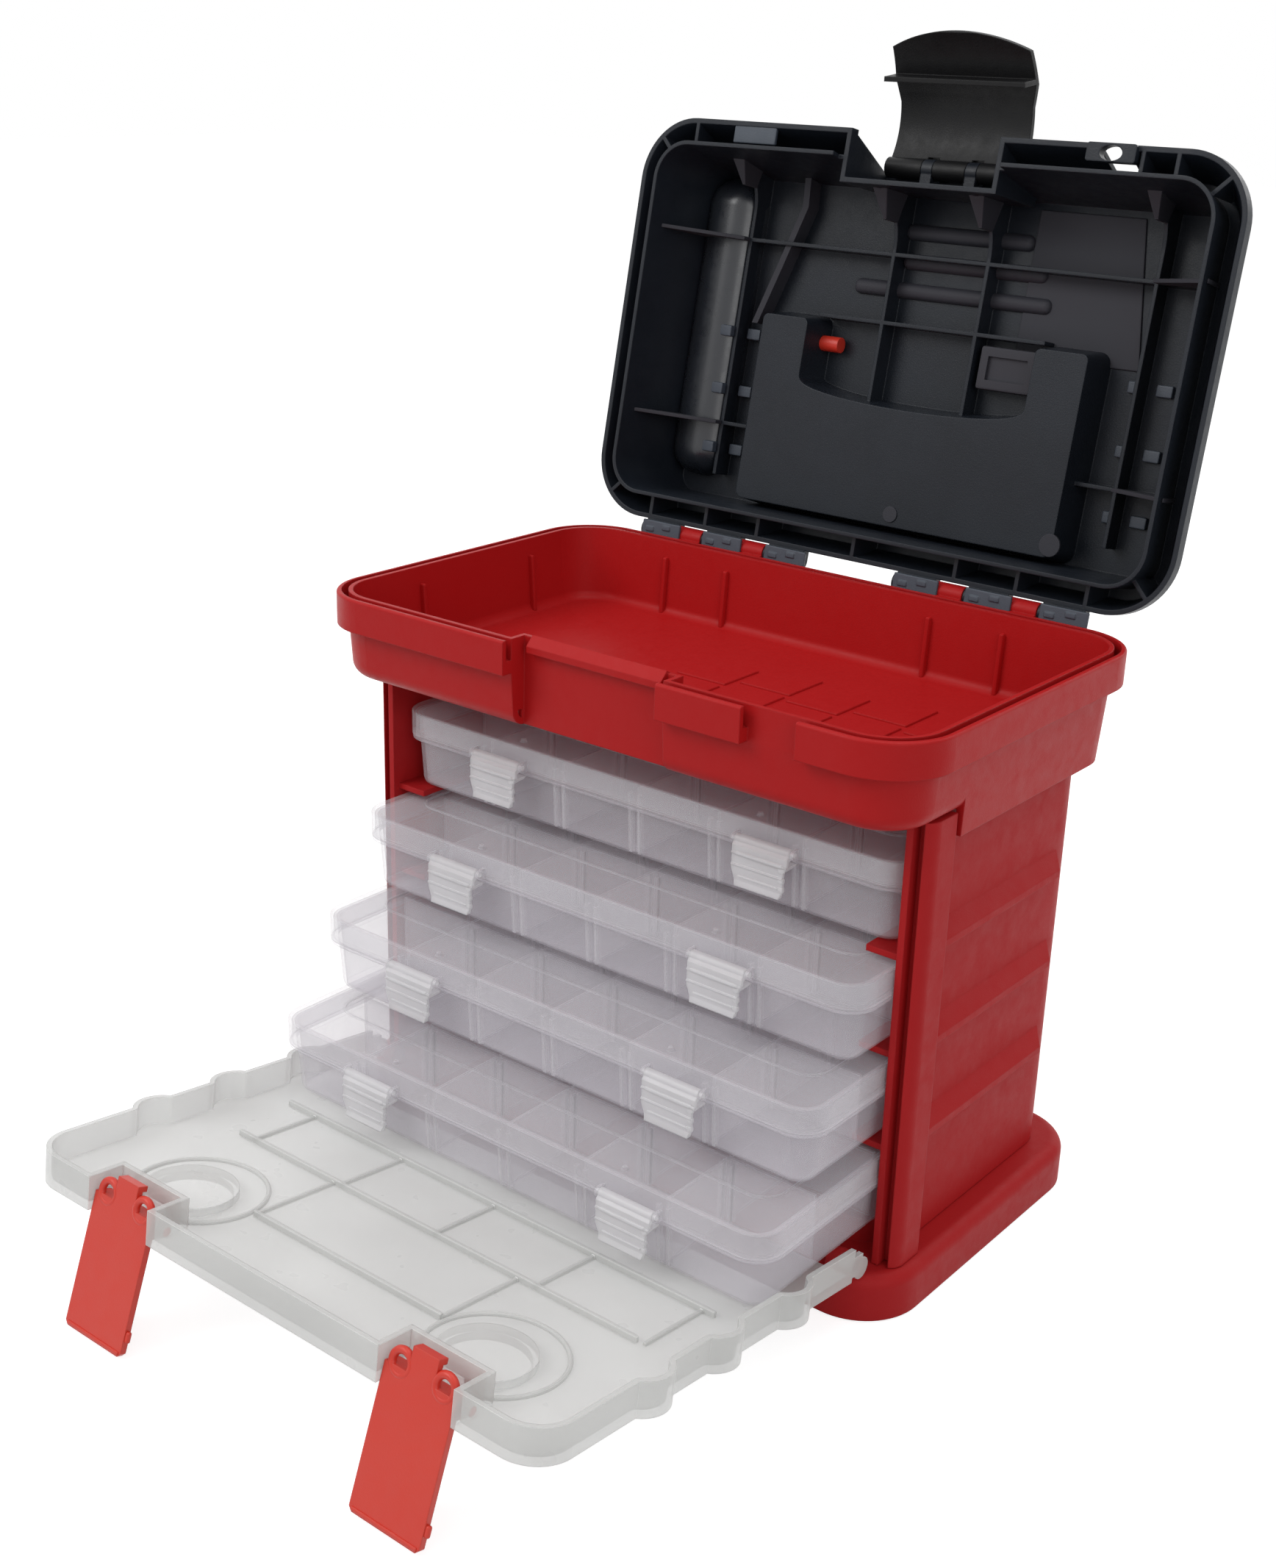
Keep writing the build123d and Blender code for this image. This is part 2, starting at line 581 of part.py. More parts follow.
def lid_outline(inset, hinge_inset):
    """A round-cornered outline across the lid, inset from its open edge."""
    start = LID_START + hinge_inset
    end = LID_END - inset
    with Locations((0, (start + end) / 2)):
        RectangleRounded(LID_WIDTH - 2 * inset, end - start, LID_CORNER - inset)


def between(depth, first, last, value_first, value_last):
    """The value at a depth on a straight slope between two depths."""
    return value_first + (value_last - value_first) * (depth - first) / (last - first)


# Outer form of the lid: a short band, then walls that lean in to a flat roof
with BuildPart() as lid_form:
    with BuildSketch(LID_PLANE):
        lid_outline(0, 0)
    extrude(amount=-LID_BAND)
    with BuildSketch(LID_PLANE.offset(-LID_BAND)):
        lid_outline(LID_STEP, LID_STEP)
    with BuildSketch(LID_PLANE.offset(-LID_DEPTH)):
        lid_outline(ROOF_INSET, ROOF_INSET_HINGE)
    loft()
    fillet(lid_form.faces().sort_by(Axis((0, 0, 0), LID_PLANE.z_dir))[0].edges(), LID_ROUND)

# Inside of the lid: webs in the channel, block for the latch notch, and ribs on the ceiling
with BuildPart() as lid_inside:
    with BuildSketch(LID_PLANE):
        web_length = TONGUE_INSET - LID_WALL / 2 + LID_RIB / 2
        for x in WEB_X:
            with Locations((x, LID_END - LID_WALL / 2 - web_length / 2)):
                Rectangle(LID_RIB, web_length)
        for x in HINGE_WEB_X:
            with Locations((x, LID_START + LID_WALL / 2 + web_length / 2)):
                Rectangle(LID_RIB, web_length)
        corner_reach = LID_CORNER - LID_WALL / 2 - web_length / 2
        for side in (-1, 1):
            for corner_w, turn in ((LID_END - LID_CORNER, 1), (LID_START + LID_CORNER, -1)):
                corner_x = LID_WIDTH / 2 - LID_CORNER + corner_reach * cos(radians(45))
                web_w = corner_w + turn * corner_reach * cos(radians(45))
                with Locations(Location((side * corner_x, web_w, 0), (0, 0, side * turn * 45))):
                    Rectangle(web_length, LID_RIB)
    extrude(amount=-LID_CHANNEL_DEPTH - 1)
    with BuildSketch(LID_PLANE):
        with Locations((0, (NOTCH_W - LID_WALL + LID_END) / 2)):
            Rectangle(2 * (NOTCH_HALF + LID_WALL), LID_END - NOTCH_W + LID_WALL)
    extrude(amount=-(NOTCH_DEPTH + LID_WALL))
    # Ribs up the lid, swept up into the front wall
    for x, top_w, rib_start in (
        (-OUTER_RIB_X, LID_END - TONGUE_INSET - LID_RIB, WELL_START + TONGUE_INSET),
        (-CENTRE_RIB_X, NOTCH_W - LID_WALL, WELL_NOTCH_START - WELL_NOTCH_SAG - LID_WALL),
        (CENTRE_RIB_X, NOTCH_W - LID_WALL, WELL_NOTCH_START - WELL_NOTCH_SAG - LID_WALL),
        (OUTER_RIB_X, LID_END - TONGUE_INSET - LID_RIB, WELL_START + TONGUE_INSET),
    ):
        bend = RIB_CURVE * (1 - cos(radians(45)))
        with BuildSketch(side_plane(LID_PLANE, x)):
            with BuildLine():
                Polyline(
                    (top_w - RIB_CURVE, -LID_RIB_DEPTH),
                    (rib_start, -LID_RIB_DEPTH),
                    (rib_start, -LID_CEILING - 1),
                    (top_w + LID_WALL / 2, -LID_CEILING - 1),
                    (top_w + LID_WALL / 2, RIB_CURVE - LID_RIB_DEPTH),
                    (top_w, RIB_CURVE - LID_RIB_DEPTH),
                )
                ThreePointArc(
                    (top_w, RIB_CURVE - LID_RIB_DEPTH),
                    (top_w - bend, bend - LID_RIB_DEPTH),
                    (top_w - RIB_CURVE, -LID_RIB_DEPTH),
                )
            make_face()
        extrude(amount=LID_RIB / 2, both=True)
    # Ribs across the lid
    rib_half = LID_WIDTH / 2 - TONGUE_INSET - LID_RIB / 2
    for w, start_x, end_x in (
        (CROSS_RIB_W, -rib_half, rib_half),
        (SIDE_RIB_W, -rib_half, -WELL_HALF + WELL_SKIN),
        (SIDE_RIB_W, WELL_HALF - WELL_SKIN, rib_half),
        (WELL_END, -WELL_NOTCH_HALF - WELL_SKIN, WELL_NOTCH_HALF + WELL_SKIN),
    ):
        with BuildSketch(cross_plane(LID_PLANE, w)):
            with Locations(((start_x + end_x) / 2, (LID_RIB_DEPTH + LID_CEILING + 1) / 2)):
                Rectangle(end_x - start_x, LID_CEILING + 1 - LID_RIB_DEPTH)
        extrude(amount=LID_RIB / 2, both=True)
    add(lid_form.part, mode=Mode.INTERSECT)

# A long round-ended bulge on the ceiling beside the left wall
with BuildPart() as bulge:
    with BuildSketch(LID_PLANE.offset(-LID_CEILING - 1)):
        with Locations((-LID_WIDTH / 2 + BULGE_INSET, BULGE_W)):
            SlotOverall(BULGE_LENGTH, BULGE_WIDTH, rotation=90)
    extrude(amount=BULGE_RISE + 1)
    fillet(bulge.faces().sort_by(Axis((0, 0, 0), LID_PLANE.z_dir))[-1].edges(), BULGE_ROUND)

# Lid: shell with a double wall, ribs, the handle well, the latch notch and hinge arms
with BuildPart() as lid_shell:
    add(lid_form.part)
    channel_wall = LID_WALL + between(LID_CHANNEL_DEPTH, LID_BAND, LID_DEPTH, LID_STEP, ROOF_INSET)
    channel_hinge = LID_WALL + between(
        LID_CHANNEL_DEPTH, LID_BAND, LID_DEPTH, LID_STEP, ROOF_INSET_HINGE
    )
    with BuildSketch(LID_PLANE):
        lid_outline(LID_WALL, LID_WALL)
    with BuildSketch(LID_PLANE.offset(-LID_CHANNEL_DEPTH)):
        lid_outline(channel_wall, channel_hinge)
    loft(mode=Mode.SUBTRACT)
    # The inner wall stands proud of the open edge as a tongue, and the hollow is inside it
    hollow_inset = TONGUE_INSET + LID_RIB
    tongue_foot = between(
        LID_CHANNEL_DEPTH + 1, -TONGUE_RISE, LID_CEILING, hollow_inset, CEILING_INSET
    ) - LID_RIB
    with BuildSketch(LID_PLANE.offset(TONGUE_RISE)):
        lid_outline(TONGUE_INSET, TONGUE_INSET)
    with BuildSketch(LID_PLANE.offset(-LID_CHANNEL_DEPTH - 1)):
        lid_outline(tongue_foot, TONGUE_INSET)
    loft()
    with BuildSketch(LID_PLANE.offset(TONGUE_RISE)):
        lid_outline(hollow_inset, hollow_inset)
    with BuildSketch(LID_PLANE.offset(-LID_CEILING)):
        lid_outline(CEILING_INSET, CEILING_INSET_HINGE)
    loft(mode=Mode.SUBTRACT)
    add(lid_inside.part)
    add(bulge.part)
    # The handle well, closed towards the inside and open through the roof
    with BuildSketch(LID_PLANE.offset(-LID_CEILING - 1)):
        well_outline(0)
    extrude(amount=LID_CEILING + 1 - WELL_DEPTH, taper=WELL_DRAFT)
    with BuildSketch(LID_PLANE.offset(-LID_DEPTH)):
        well_outline(WELL_SKIN)
    extrude(amount=LID_DEPTH - WELL_DEPTH - WELL_SKIN, taper=WELL_DRAFT, mode=Mode.SUBTRACT)
    for side in (-1, 1):
        with BuildSketch(side_plane(LID_PLANE, side * WELL_NOTCH_HALF)):
            with Locations((HANDLE_PIVOT_W, -HANDLE_PIVOT_DEPTH)):
                Circle(HANDLE_STUB + PIN_CLEARANCE)
        extrude(amount=2 * WELL_SKIN + 1, both=True, mode=Mode.SUBTRACT)
    # The open latch notch; the tongue stops beside the recess of the tray
    with BuildSketch(LID_PLANE.offset(TONGUE_RISE + 1)):
        with Locations((0, (NOTCH_W + LID_END + 5) / 2)):
            Rectangle(2 * NOTCH_HALF, LID_END + 5 - NOTCH_W)
    extrude(amount=-NOTCH_DEPTH - TONGUE_RISE - 1, mode=Mode.SUBTRACT)
    with BuildSketch(LID_PLANE):
        with Locations((0, (NOTCH_W + LID_END) / 2)):
            Rectangle(2 * (RECESS_HALF + TRAY_WALL + TONGUE_GAP), LID_END - NOTCH_W)
    extrude(amount=TONGUE_RISE + 1, mode=Mode.SUBTRACT)
    # Two ears for the latch pin
    for side in (-1, 1):
        with BuildSketch(side_plane(LID_PLANE, side * LATCH_EAR_X - LATCH_EAR_WIDTH / 2)):
            with Locations((LATCH_PIVOT_W, -LATCH_PIVOT_DEPTH)):
                Circle(LATCH_BARREL)
            with Locations(((LATCH_PIVOT_W + NOTCH_W - 1) / 2, -LATCH_PIVOT_DEPTH)):
                Rectangle(LATCH_PIVOT_W - NOTCH_W + 1, 2 * LATCH_BARREL - 1)
            with Locations((LATCH_PIVOT_W, -LATCH_PIVOT_DEPTH)):
                Circle(LATCH_PIN + PIN_CLEARANCE, mode=Mode.SUBTRACT)
        extrude(amount=LATCH_EAR_WIDTH)
    # The padlock tab on the open edge, with the wall behind its hole cut away
    tab_w = LID_END - TAB_LENGTH / 2
    hole_w = LID_END - TAB_HOLE_SETBACK
    with BuildSketch(LID_PLANE.offset(TAB_RISE)):
        with Locations((PADLOCK_X, tab_w)):
            RectangleRounded(TAB_WIDTH, TAB_LENGTH, LID_WALL / 2)
    extrude(amount=-TAB_RISE - LID_WALL)
    with BuildSketch(LID_PLANE.offset(-LID_WALL)):
        with Locations((PADLOCK_X, tab_w)):
            Rectangle(TAB_HOLE[0] + LID_WALL, TAB_LENGTH + LID_WALL)
    extrude(amount=-LID_DEPTH, mode=Mode.SUBTRACT)
    with BuildSketch(LID_PLANE.offset(TAB_RISE)):
        with Locations((PADLOCK_X, hole_w)):
            Ellipse(TAB_HOLE[0] / 2, TAB_HOLE[1] / 2)
    extrude(amount=-TAB_RISE - LID_WALL, mode=Mode.SUBTRACT)
    # Hinge arms
    for side in (-1, 1):
        for x in LID_ARM_X:
            with BuildSketch(side_plane(LID_PLANE, side * x - LID_ARM_WIDTH / 2)):
                Circle(HINGE_BARREL)
                with Locations((LID_START / 2 + LID_WALL / 4, -HINGE_BARREL / 2)):
                    Rectangle(LID_START + LID_WALL / 2, HINGE_BARREL)
                Circle(HINGE_PIN + PIN_CLEARANCE, mode=Mode.SUBTRACT)
            extrude(amount=LID_ARM_WIDTH)
save(lid_shell, "lid_shell")

# The pin of the lid latch
with BuildPart() as lid_latch_pin:
    with BuildSketch(side_plane(LATCH_PLANE, 0)):
        Circle(LATCH_PIN)
    extrude(amount=LATCH_HALF + FIT_GAP, both=True)
save(lid_latch_pin, "lid_latch_pin")

# Lid latch: a bowed flap on three knuckles, with a hook across it and an arched free end
with BuildPart() as lid_latch:
    with BuildSketch(side_plane(LATCH_PLANE, 0)):
        with BuildLine():
            ThreePointArc((3.0, -1.0), (14.0, -7.2), (29.0, -8.2))
            ThreePointArc((29.0, -8.2), (42.0, -5.2), (53.5, 0.6))
            Line((53.5, 0.6), (54.8, -1.4))
            ThreePointArc((54.8, -1.4), (43.0, -7.2), (29.5, -10.4))
            ThreePointArc((29.5, -10.4), (13.0, -9.6), (-1.0, -3.6))
            Line((-1.0, -3.6), (3.0, -1.0))
        make_face()
        with Locations((LATCH_HOOK_R + LATCH_HOOK_THICK / 2, (LATCH_HOOK_REACH - 8.0) / 2)):
            Rectangle(LATCH_HOOK_THICK, LATCH_HOOK_REACH + 8.0)
    extrude(amount=LATCH_TIP_HALF, both=True)
    with BuildSketch(LATCH_PLANE):
        with BuildLine():
            Polyline(
                (-LATCH_TIP_HALF + 1, LATCH_CORNER_R),
                (-LATCH_TIP_HALF, LATCH_HOOK_R),
                (-LATCH_HALF, LATCH_HOOK_R - 9),
                (-LATCH_HALF, -LATCH_BARREL),
                (LATCH_HALF, -LATCH_BARREL),
                (LATCH_HALF, LATCH_HOOK_R - 9),
                (LATCH_TIP_HALF, LATCH_HOOK_R),
                (LATCH_TIP_HALF - 1, LATCH_CORNER_R),
            )
            ThreePointArc(
                (LATCH_TIP_HALF - 1, LATCH_CORNER_R),
                (0, 54.0),
                (-LATCH_TIP_HALF + 1, LATCH_CORNER_R),
            )
        make_face()
    extrude(amount=20, both=True, mode=Mode.INTERSECT)
    with BuildSketch(side_plane(LATCH_PLANE, 0)):
        Circle(LATCH_BARREL)
    extrude(amount=LATCH_HALF, both=True)
    for side in (-1, 1):
        with BuildSketch(side_plane(LATCH_PLANE, side * LATCH_EAR_X)):
            Circle(LATCH_BARREL + 1)
        extrude(amount=LATCH_EAR_WIDTH / 2 + FIT_GAP, both=True, mode=Mode.SUBTRACT)
    with BuildSketch(side_plane(LATCH_PLANE, 0)):
        Circle(LATCH_PIN + PIN_CLEARANCE)
    extrude(amount=LATCH_HALF + 1, both=True, mode=Mode.SUBTRACT)
save(lid_latch, "lid_latch")

# Carry handle: two arms, a grip and a stub on each arm, hanging plumb out of its well
HANDLE_PLANE = Plane(
    origin=LID_PLANE.from_local_coords((0, HANDLE_PIVOT_W, -HANDLE_PIVOT_DEPTH)),
    x_dir=(1, 0, 0),
    z_dir=(0, -1, 0),
)
arm_width = HANDLE_ARM_OUTER - HANDLE_ARM_INNER
arm_x = (HANDLE_ARM_INNER + HANDLE_ARM_OUTER) / 2
handle_drop = HANDLE_PIVOT_W - HANDLE_END_W
with BuildPart() as carry_handle:
    with BuildSketch(HANDLE_PLANE):
        with Locations((0, HANDLE_GRIP / 2 - handle_drop)):
            RectangleRounded(2 * HANDLE_ARM_OUTER, HANDLE_GRIP, HANDLE_CORNER)
        for side in (-1, 1):
            with Locations((side * arm_x, -(handle_drop - HANDLE_CORNER) / 2)):
                Rectangle(arm_width, handle_drop - HANDLE_CORNER)
    extrude(amount=HANDLE_THICK / 2, both=True)
    for side in (-1, 1):
        with BuildSketch(side_plane(HANDLE_PLANE, side * arm_x)):
            Circle(HANDLE_THICK / 2)
        extrude(amount=arm_width / 2, both=True)
        with BuildSketch(side_plane(HANDLE_PLANE, side * (HANDLE_ARM_INNER + HANDLE_STUB_END) / 2)):
            Circle(HANDLE_STUB)
        extrude(amount=(HANDLE_ARM_INNER - HANDLE_STUB_END) / 2 + 1, both=True)
save(carry_handle, "carry_handle")


def door_outline():
    """The plan of the door: rounded front corners and three bumps down each side."""
    with Locations((0, DOOR_START + DOOR_LENGTH / 2 - DOOR_CORNER / 2)):
        Rectangle(DOOR_WIDTH, DOOR_LENGTH - DOOR_CORNER)
    with Locations((0, DOOR_START + DOOR_LENGTH - DOOR_CORNER)):
        RectangleRounded(DOOR_WIDTH, 2 * DOOR_CORNER, DOOR_CORNER - 0.01)
    for side in (-1, 1):
        for t in BUMP_LENGTHS:
            with Locations((side * (DOOR_WIDTH / 2 + BUMP_RISE - BUMP_RADIUS), t)):
                Circle(BUMP_RADIUS)


# Front door: clear panel with a turned-up edge, latch pockets and finger wells
with BuildPart() as door_panel:
    with BuildSketch(DOOR_PLANE.offset(DOOR_OUT)):
        door_outline()
    extrude(amount=-DOOR_FLANGE)
    with BuildSketch(DOOR_PLANE.offset(DOOR_OUT - DOOR_SKIN)):
        door_outline()
        offset(amount=-DOOR_SKIN, mode=Mode.REPLACE)
        with Locations((0, DOOR_START + DOOR_CORNER)):
            Rectangle(DOOR_WIDTH - 2 * DOOR_SKIN, 2 * DOOR_CORNER)
    extrude(amount=-DOOR_FLANGE, mode=Mode.SUBTRACT)
    for side in (-1, 1):
        # Pocket walls round each latch, then the opening for it
        pocket_end = DOOR_START + DOOR_LENGTH
        pocket_back = POCKET_START - POCKET_WALL
        with BuildSketch(DOOR_PLANE.offset(DOOR_OUT)):
            with Locations((side * FLAP_X, (pocket_back + pocket_end) / 2)):
                Rectangle(2 * (POCKET_HALF + POCKET_WALL), pocket_end - pocket_back)
        extrude(amount=-DOOR_FLANGE)
        with BuildSketch(DOOR_PLANE.offset(DOOR_OUT)):
            with Locations((side * FLAP_X, (POCKET_START + pocket_end + 1) / 2)):
                Rectangle(2 * POCKET_HALF, pocket_end + 1 - POCKET_START)
        extrude(amount=-DOOR_FLANGE, mode=Mode.SUBTRACT)
        with BuildSketch(side_plane(DOOR_PLANE, side * FLAP_X)):
            with Locations((FLAP_PIVOT_T, FLAP_PIVOT_OUT)):
                Circle(FLAP_PIN + PIN_CLEARANCE)
        extrude(amount=POCKET_HALF + POCKET_WALL + 1, both=True, mode=Mode.SUBTRACT)
        # A round well under the tip of the folded latch
        with BuildSketch(DOOR_PLANE.offset(DOOR_OUT - DOOR_SKIN / 2)):
            with Locations((side * FLAP_X, FINGER_T)):
                Circle(FINGER_RADIUS)
        extrude(amount=-FINGER_RISE - DOOR_SKIN / 2)
        with BuildSketch(DOOR_PLANE.offset(DOOR_OUT)):
            with Locations((side * FLAP_X, FINGER_T)):
                Circle(FINGER_RADIUS - DOOR_SKIN)
        extrude(amount=-FINGER_RISE, mode=Mode.SUBTRACT)
        # A lug on each side with its hinge stub
        inner = side * (DOOR_WIDTH / 2 - DOOR_SKIN / 2)
        with BuildSketch(side_plane(DOOR_PLANE, inner)):
            Circle(DOOR_EAR)
            with Locations((DOOR_START / 2 + 1, -(DOOR_FLANGE - 2 * DOOR_OUT) / 2 + 0.6)):
                Rectangle(DOOR_START + 2, DOOR_FLANGE - DOOR_OUT - 1)
        extrude(amount=DOOR_SKIN / 2, both=True)
        stub_end = DOOR_EAR_X - DOOR_EAR_WIDTH / 2 - 0.8
        stub_length = DOOR_WIDTH / 2 - 1 - stub_end
        with BuildSketch(side_plane(DOOR_PLANE, side * (stub_end + stub_length / 2))):
            Circle(DOOR_PIN)
        extrude(amount=stub_length / 2, both=True)
save(door_panel, "door_panel")


def door_latch(side):
    """One door latch: a flap hanging from its barrel, with a hooked tab above it."""
    tilt = radians(FLAP_ANGLE)
    middle = side * FLAP_X
    frame = Plane(
        origin=DOOR_PLANE.from_local_coords((middle, FLAP_PIVOT_T, FLAP_PIVOT_OUT)),
        x_dir=(1, 0, 0),
        z_dir=DOOR_PLANE.y_dir * sin(tilt) + DOOR_PLANE.z_dir * cos(tilt),
    )
    with BuildPart() as flap:
        with BuildSketch(frame.offset(FLAP_BARREL)):
            with BuildLine():
                Polyline(
                    (-FLAP_HALF, FLAP_BARREL),
                    (-FLAP_HALF, -FLAP_LENGTH + 1.5),
                    (-FLAP_HALF + 1.5, -FLAP_LENGTH),
                    (FLAP_HALF - 1.5, -FLAP_LENGTH),
                    (FLAP_HALF, -FLAP_LENGTH + 1.5),
                    (FLAP_HALF, FLAP_BARREL),
                    (FLAP_TAB_HALF, FLAP_BARREL),
                    (FLAP_TAB_HALF, FLAP_TAB_RISE),
                    (-FLAP_TAB_HALF, FLAP_TAB_RISE),
                    (-FLAP_TAB_HALF, FLAP_BARREL),
                    (-FLAP_HALF, FLAP_BARREL),
                )
            make_face()
        extrude(amount=FLAP_SKIN)
        with BuildSketch(side_plane(frame, 0)):
            Circle(FLAP_BARREL)
            with Locations((0, (FLAP_BARREL + 1) / 2)):
                Rectangle(2 * FLAP_BARREL, FLAP_BARREL + 1)
        extrude(amount=FLAP_HALF, both=True)
        with BuildSketch(side_plane(frame, 0)):
            with Locations((FLAP_TAB_RISE - 1, FLAP_BARREL - 0.5)):
                Rectangle(2.0, FLAP_SKIN)
        extrude(amount=FLAP_TAB_HALF, both=True)
        with BuildSketch(side_plane(frame, 0)):
            Circle(FLAP_PIN)
        extrude(amount=POCKET_HALF + POCKET_WALL - FIT_GAP, both=True)
    return flap


door_latch_left = door_latch(-1)
save(door_latch_left, "door_latch_left")
door_latch_right = door_latch(1)
save(door_latch_right, "door_latch_right")

# One organizer box about its own origin: front face of the lid at Y 0, underside at Z 0
TUB_TOP = BOX_HEIGHT - BOX_SKIN - BOX_SEAT_GAP
BAND_BOTTOM = BOX_HEIGHT - BOX_BAND
BOX_MID = BOX_DEPTH / 2
tub_width = BOX_WIDTH - 2 * BOX_INSET
tub_depth = BOX_DEPTH - 2 * BOX_INSET
divider_top = TUB_TOP - DIVIDER_DROP
cell_depth = (tub_depth - 2 * BOX_SKIN) / BOX_ROWS
row_walls = [BOX_INSET + BOX_SKIN + cell_depth * n for n in range(1, BOX_ROWS)]

with BuildPart() as tub:
    with BuildSketch(Plane.XY.offset(TUB_TOP)):
        with Locations((0, BOX_MID)):
            RectangleRounded(tub_width, tub_depth, BOX_CORNER - BOX_INSET)
    extrude(amount=-TUB_TOP, taper=BOX_DRAFT)
    fillet(tub.faces().sort_by(Axis.Z)[0].edges(), BOX_FOOT_ROUND)
    with BuildSketch(Plane.XY.offset(BAND_BOTTOM - BOX_SEAT_GAP)):
        with Locations((0, BOX_MID)):
            RectangleRounded(BOX_WIDTH - 0.6, BOX_DEPTH - 0.6, BOX_CORNER - 0.3)
    extrude(amount=-BOX_SKIN)
    with BuildSketch(Plane.XY.offset(TUB_TOP)):
        with Locations((0, BOX_MID)):
            RectangleRounded(
                tub_width - 2 * BOX_SKIN, tub_depth - 2 * BOX_SKIN, BOX_CORNER - BOX_INSET - BOX_SKIN
            )
    extrude(amount=-(TUB_TOP - BOX_SKIN), taper=BOX_DRAFT, mode=Mode.SUBTRACT)
    with BuildSketch(Plane.XY.offset(BOX_SKIN / 2)):
        for y in row_walls:
            with Locations((0, y)):
                Rectangle(tub_width - 4 * BOX_INSET, DIVIDER_THICK)
    extrude(amount=divider_top - BOX_SKIN / 2)

wall_lean = TUB_TOP * tan(radians(BOX_DRAFT))
with BuildPart() as dividers:
    with BuildSketch(Plane.XY.offset(BOX_SKIN + BOX_SEAT_GAP)):
        for n in BOX_DIVIDER_COLUMNS:
            for row in range(BOX_ROWS):
                low = row_walls[row - 1] + DIVIDER_THICK / 2 if row else BOX_INSET + BOX_SKIN + wall_lean
                high = (
                    row_walls[row] - DIVIDER_THICK / 2
                    if row < BOX_ROWS - 1
                    else BOX_DEPTH - BOX_INSET - BOX_SKIN - wall_lean
                )
                with Locations((n * BOX_COLUMN, (low + high) / 2)):
                    Rectangle(DIVIDER_THICK, high - low - 2 * BOX_SEAT_GAP)
    extrude(amount=divider_top - BOX_SKIN - BOX_SEAT_GAP)

with BuildPart() as box_lid:
    with BuildSketch(Plane.XY.offset(BAND_BOTTOM)):
        with Locations((0, BOX_MID)):
            RectangleRounded(BOX_WIDTH, BOX_DEPTH, BOX_CORNER)
    extrude(amount=BOX_BAND)
    fillet(box_lid.faces().sort_by(Axis.Z)[-1].edges(), BOX_SKIN / 2)
    with BuildSketch(Plane.XY.offset(BAND_BOTTOM)):
        with Locations((0, BOX_MID)):
            RectangleRounded(
                BOX_WIDTH - 2 * BOX_SKIN, BOX_DEPTH - 2 * BOX_SKIN, BOX_CORNER - BOX_SKIN
            )
    extrude(amount=BOX_BAND - BOX_SKIN, mode=Mode.SUBTRACT)
    with BuildSketch(Plane.XY.offset(BOX_HEIGHT)):
        with Locations((0, BOX_MID + (BEAD_INSET_FRONT - BEAD_INSET_SIDE) / 2)):
            RectangleRounded(
                BOX_WIDTH - 2 * BEAD_INSET_SIDE,
                BOX_DEPTH - BEAD_INSET_FRONT - BEAD_INSET_SIDE,
                BEAD_CORNER,
            )
            RectangleRounded(
                BOX_WIDTH - 2 * BEAD_INSET_SIDE - 2 * BEAD_WIDTH,
                BOX_DEPTH - BEAD_INSET_FRONT - BEAD_INSET_SIDE - 2 * BEAD_WIDTH,
                BEAD_CORNER - BEAD_WIDTH,
                mode=Mode.SUBTRACT,
            )
    extrude(amount=BEAD_HEIGHT)
    for side in (-1, 1):
        with BuildSketch(Plane.XY.offset(BOX_HEIGHT - BOX_SKIN / 2)):
            with Locations((side * PIP_X, PIP_SETBACK)):
                Circle(PIP_RADIUS)
        extrude(amount=PIP_HEIGHT + BOX_SKIN / 2, taper=20)
        # Two ears at the front for each latch
        for end in (-1, 1):
            ear_x = side * BOX_LATCH_X + end * (BOX_LATCH_WIDTH / 2 + BOX_SEAT_GAP + BOX_LATCH_EAR / 2)
            with BuildSketch(Plane.YZ.offset(ear_x - BOX_LATCH_EAR / 2)):
                with Locations((-BOX_LATCH_PIVOT_OUT, BOX_HEIGHT - BOX_LATCH_PIVOT_DROP)):
                    Circle(BOX_LATCH_BARREL)
                with Locations(
                    (-BOX_LATCH_PIVOT_OUT / 2 + 0.4, BOX_HEIGHT - BOX_LATCH_PIVOT_DROP)
                ):
                    Rectangle(BOX_LATCH_PIVOT_OUT + 0.8, 2 * BOX_LATCH_BARREL)
                with Locations((-BOX_LATCH_PIVOT_OUT, BOX_HEIGHT - BOX_LATCH_PIVOT_DROP)):
                    Circle(BOX_LATCH_PIN + PIN_CLEARANCE, mode=Mode.SUBTRACT)
            extrude(amount=BOX_LATCH_EAR)

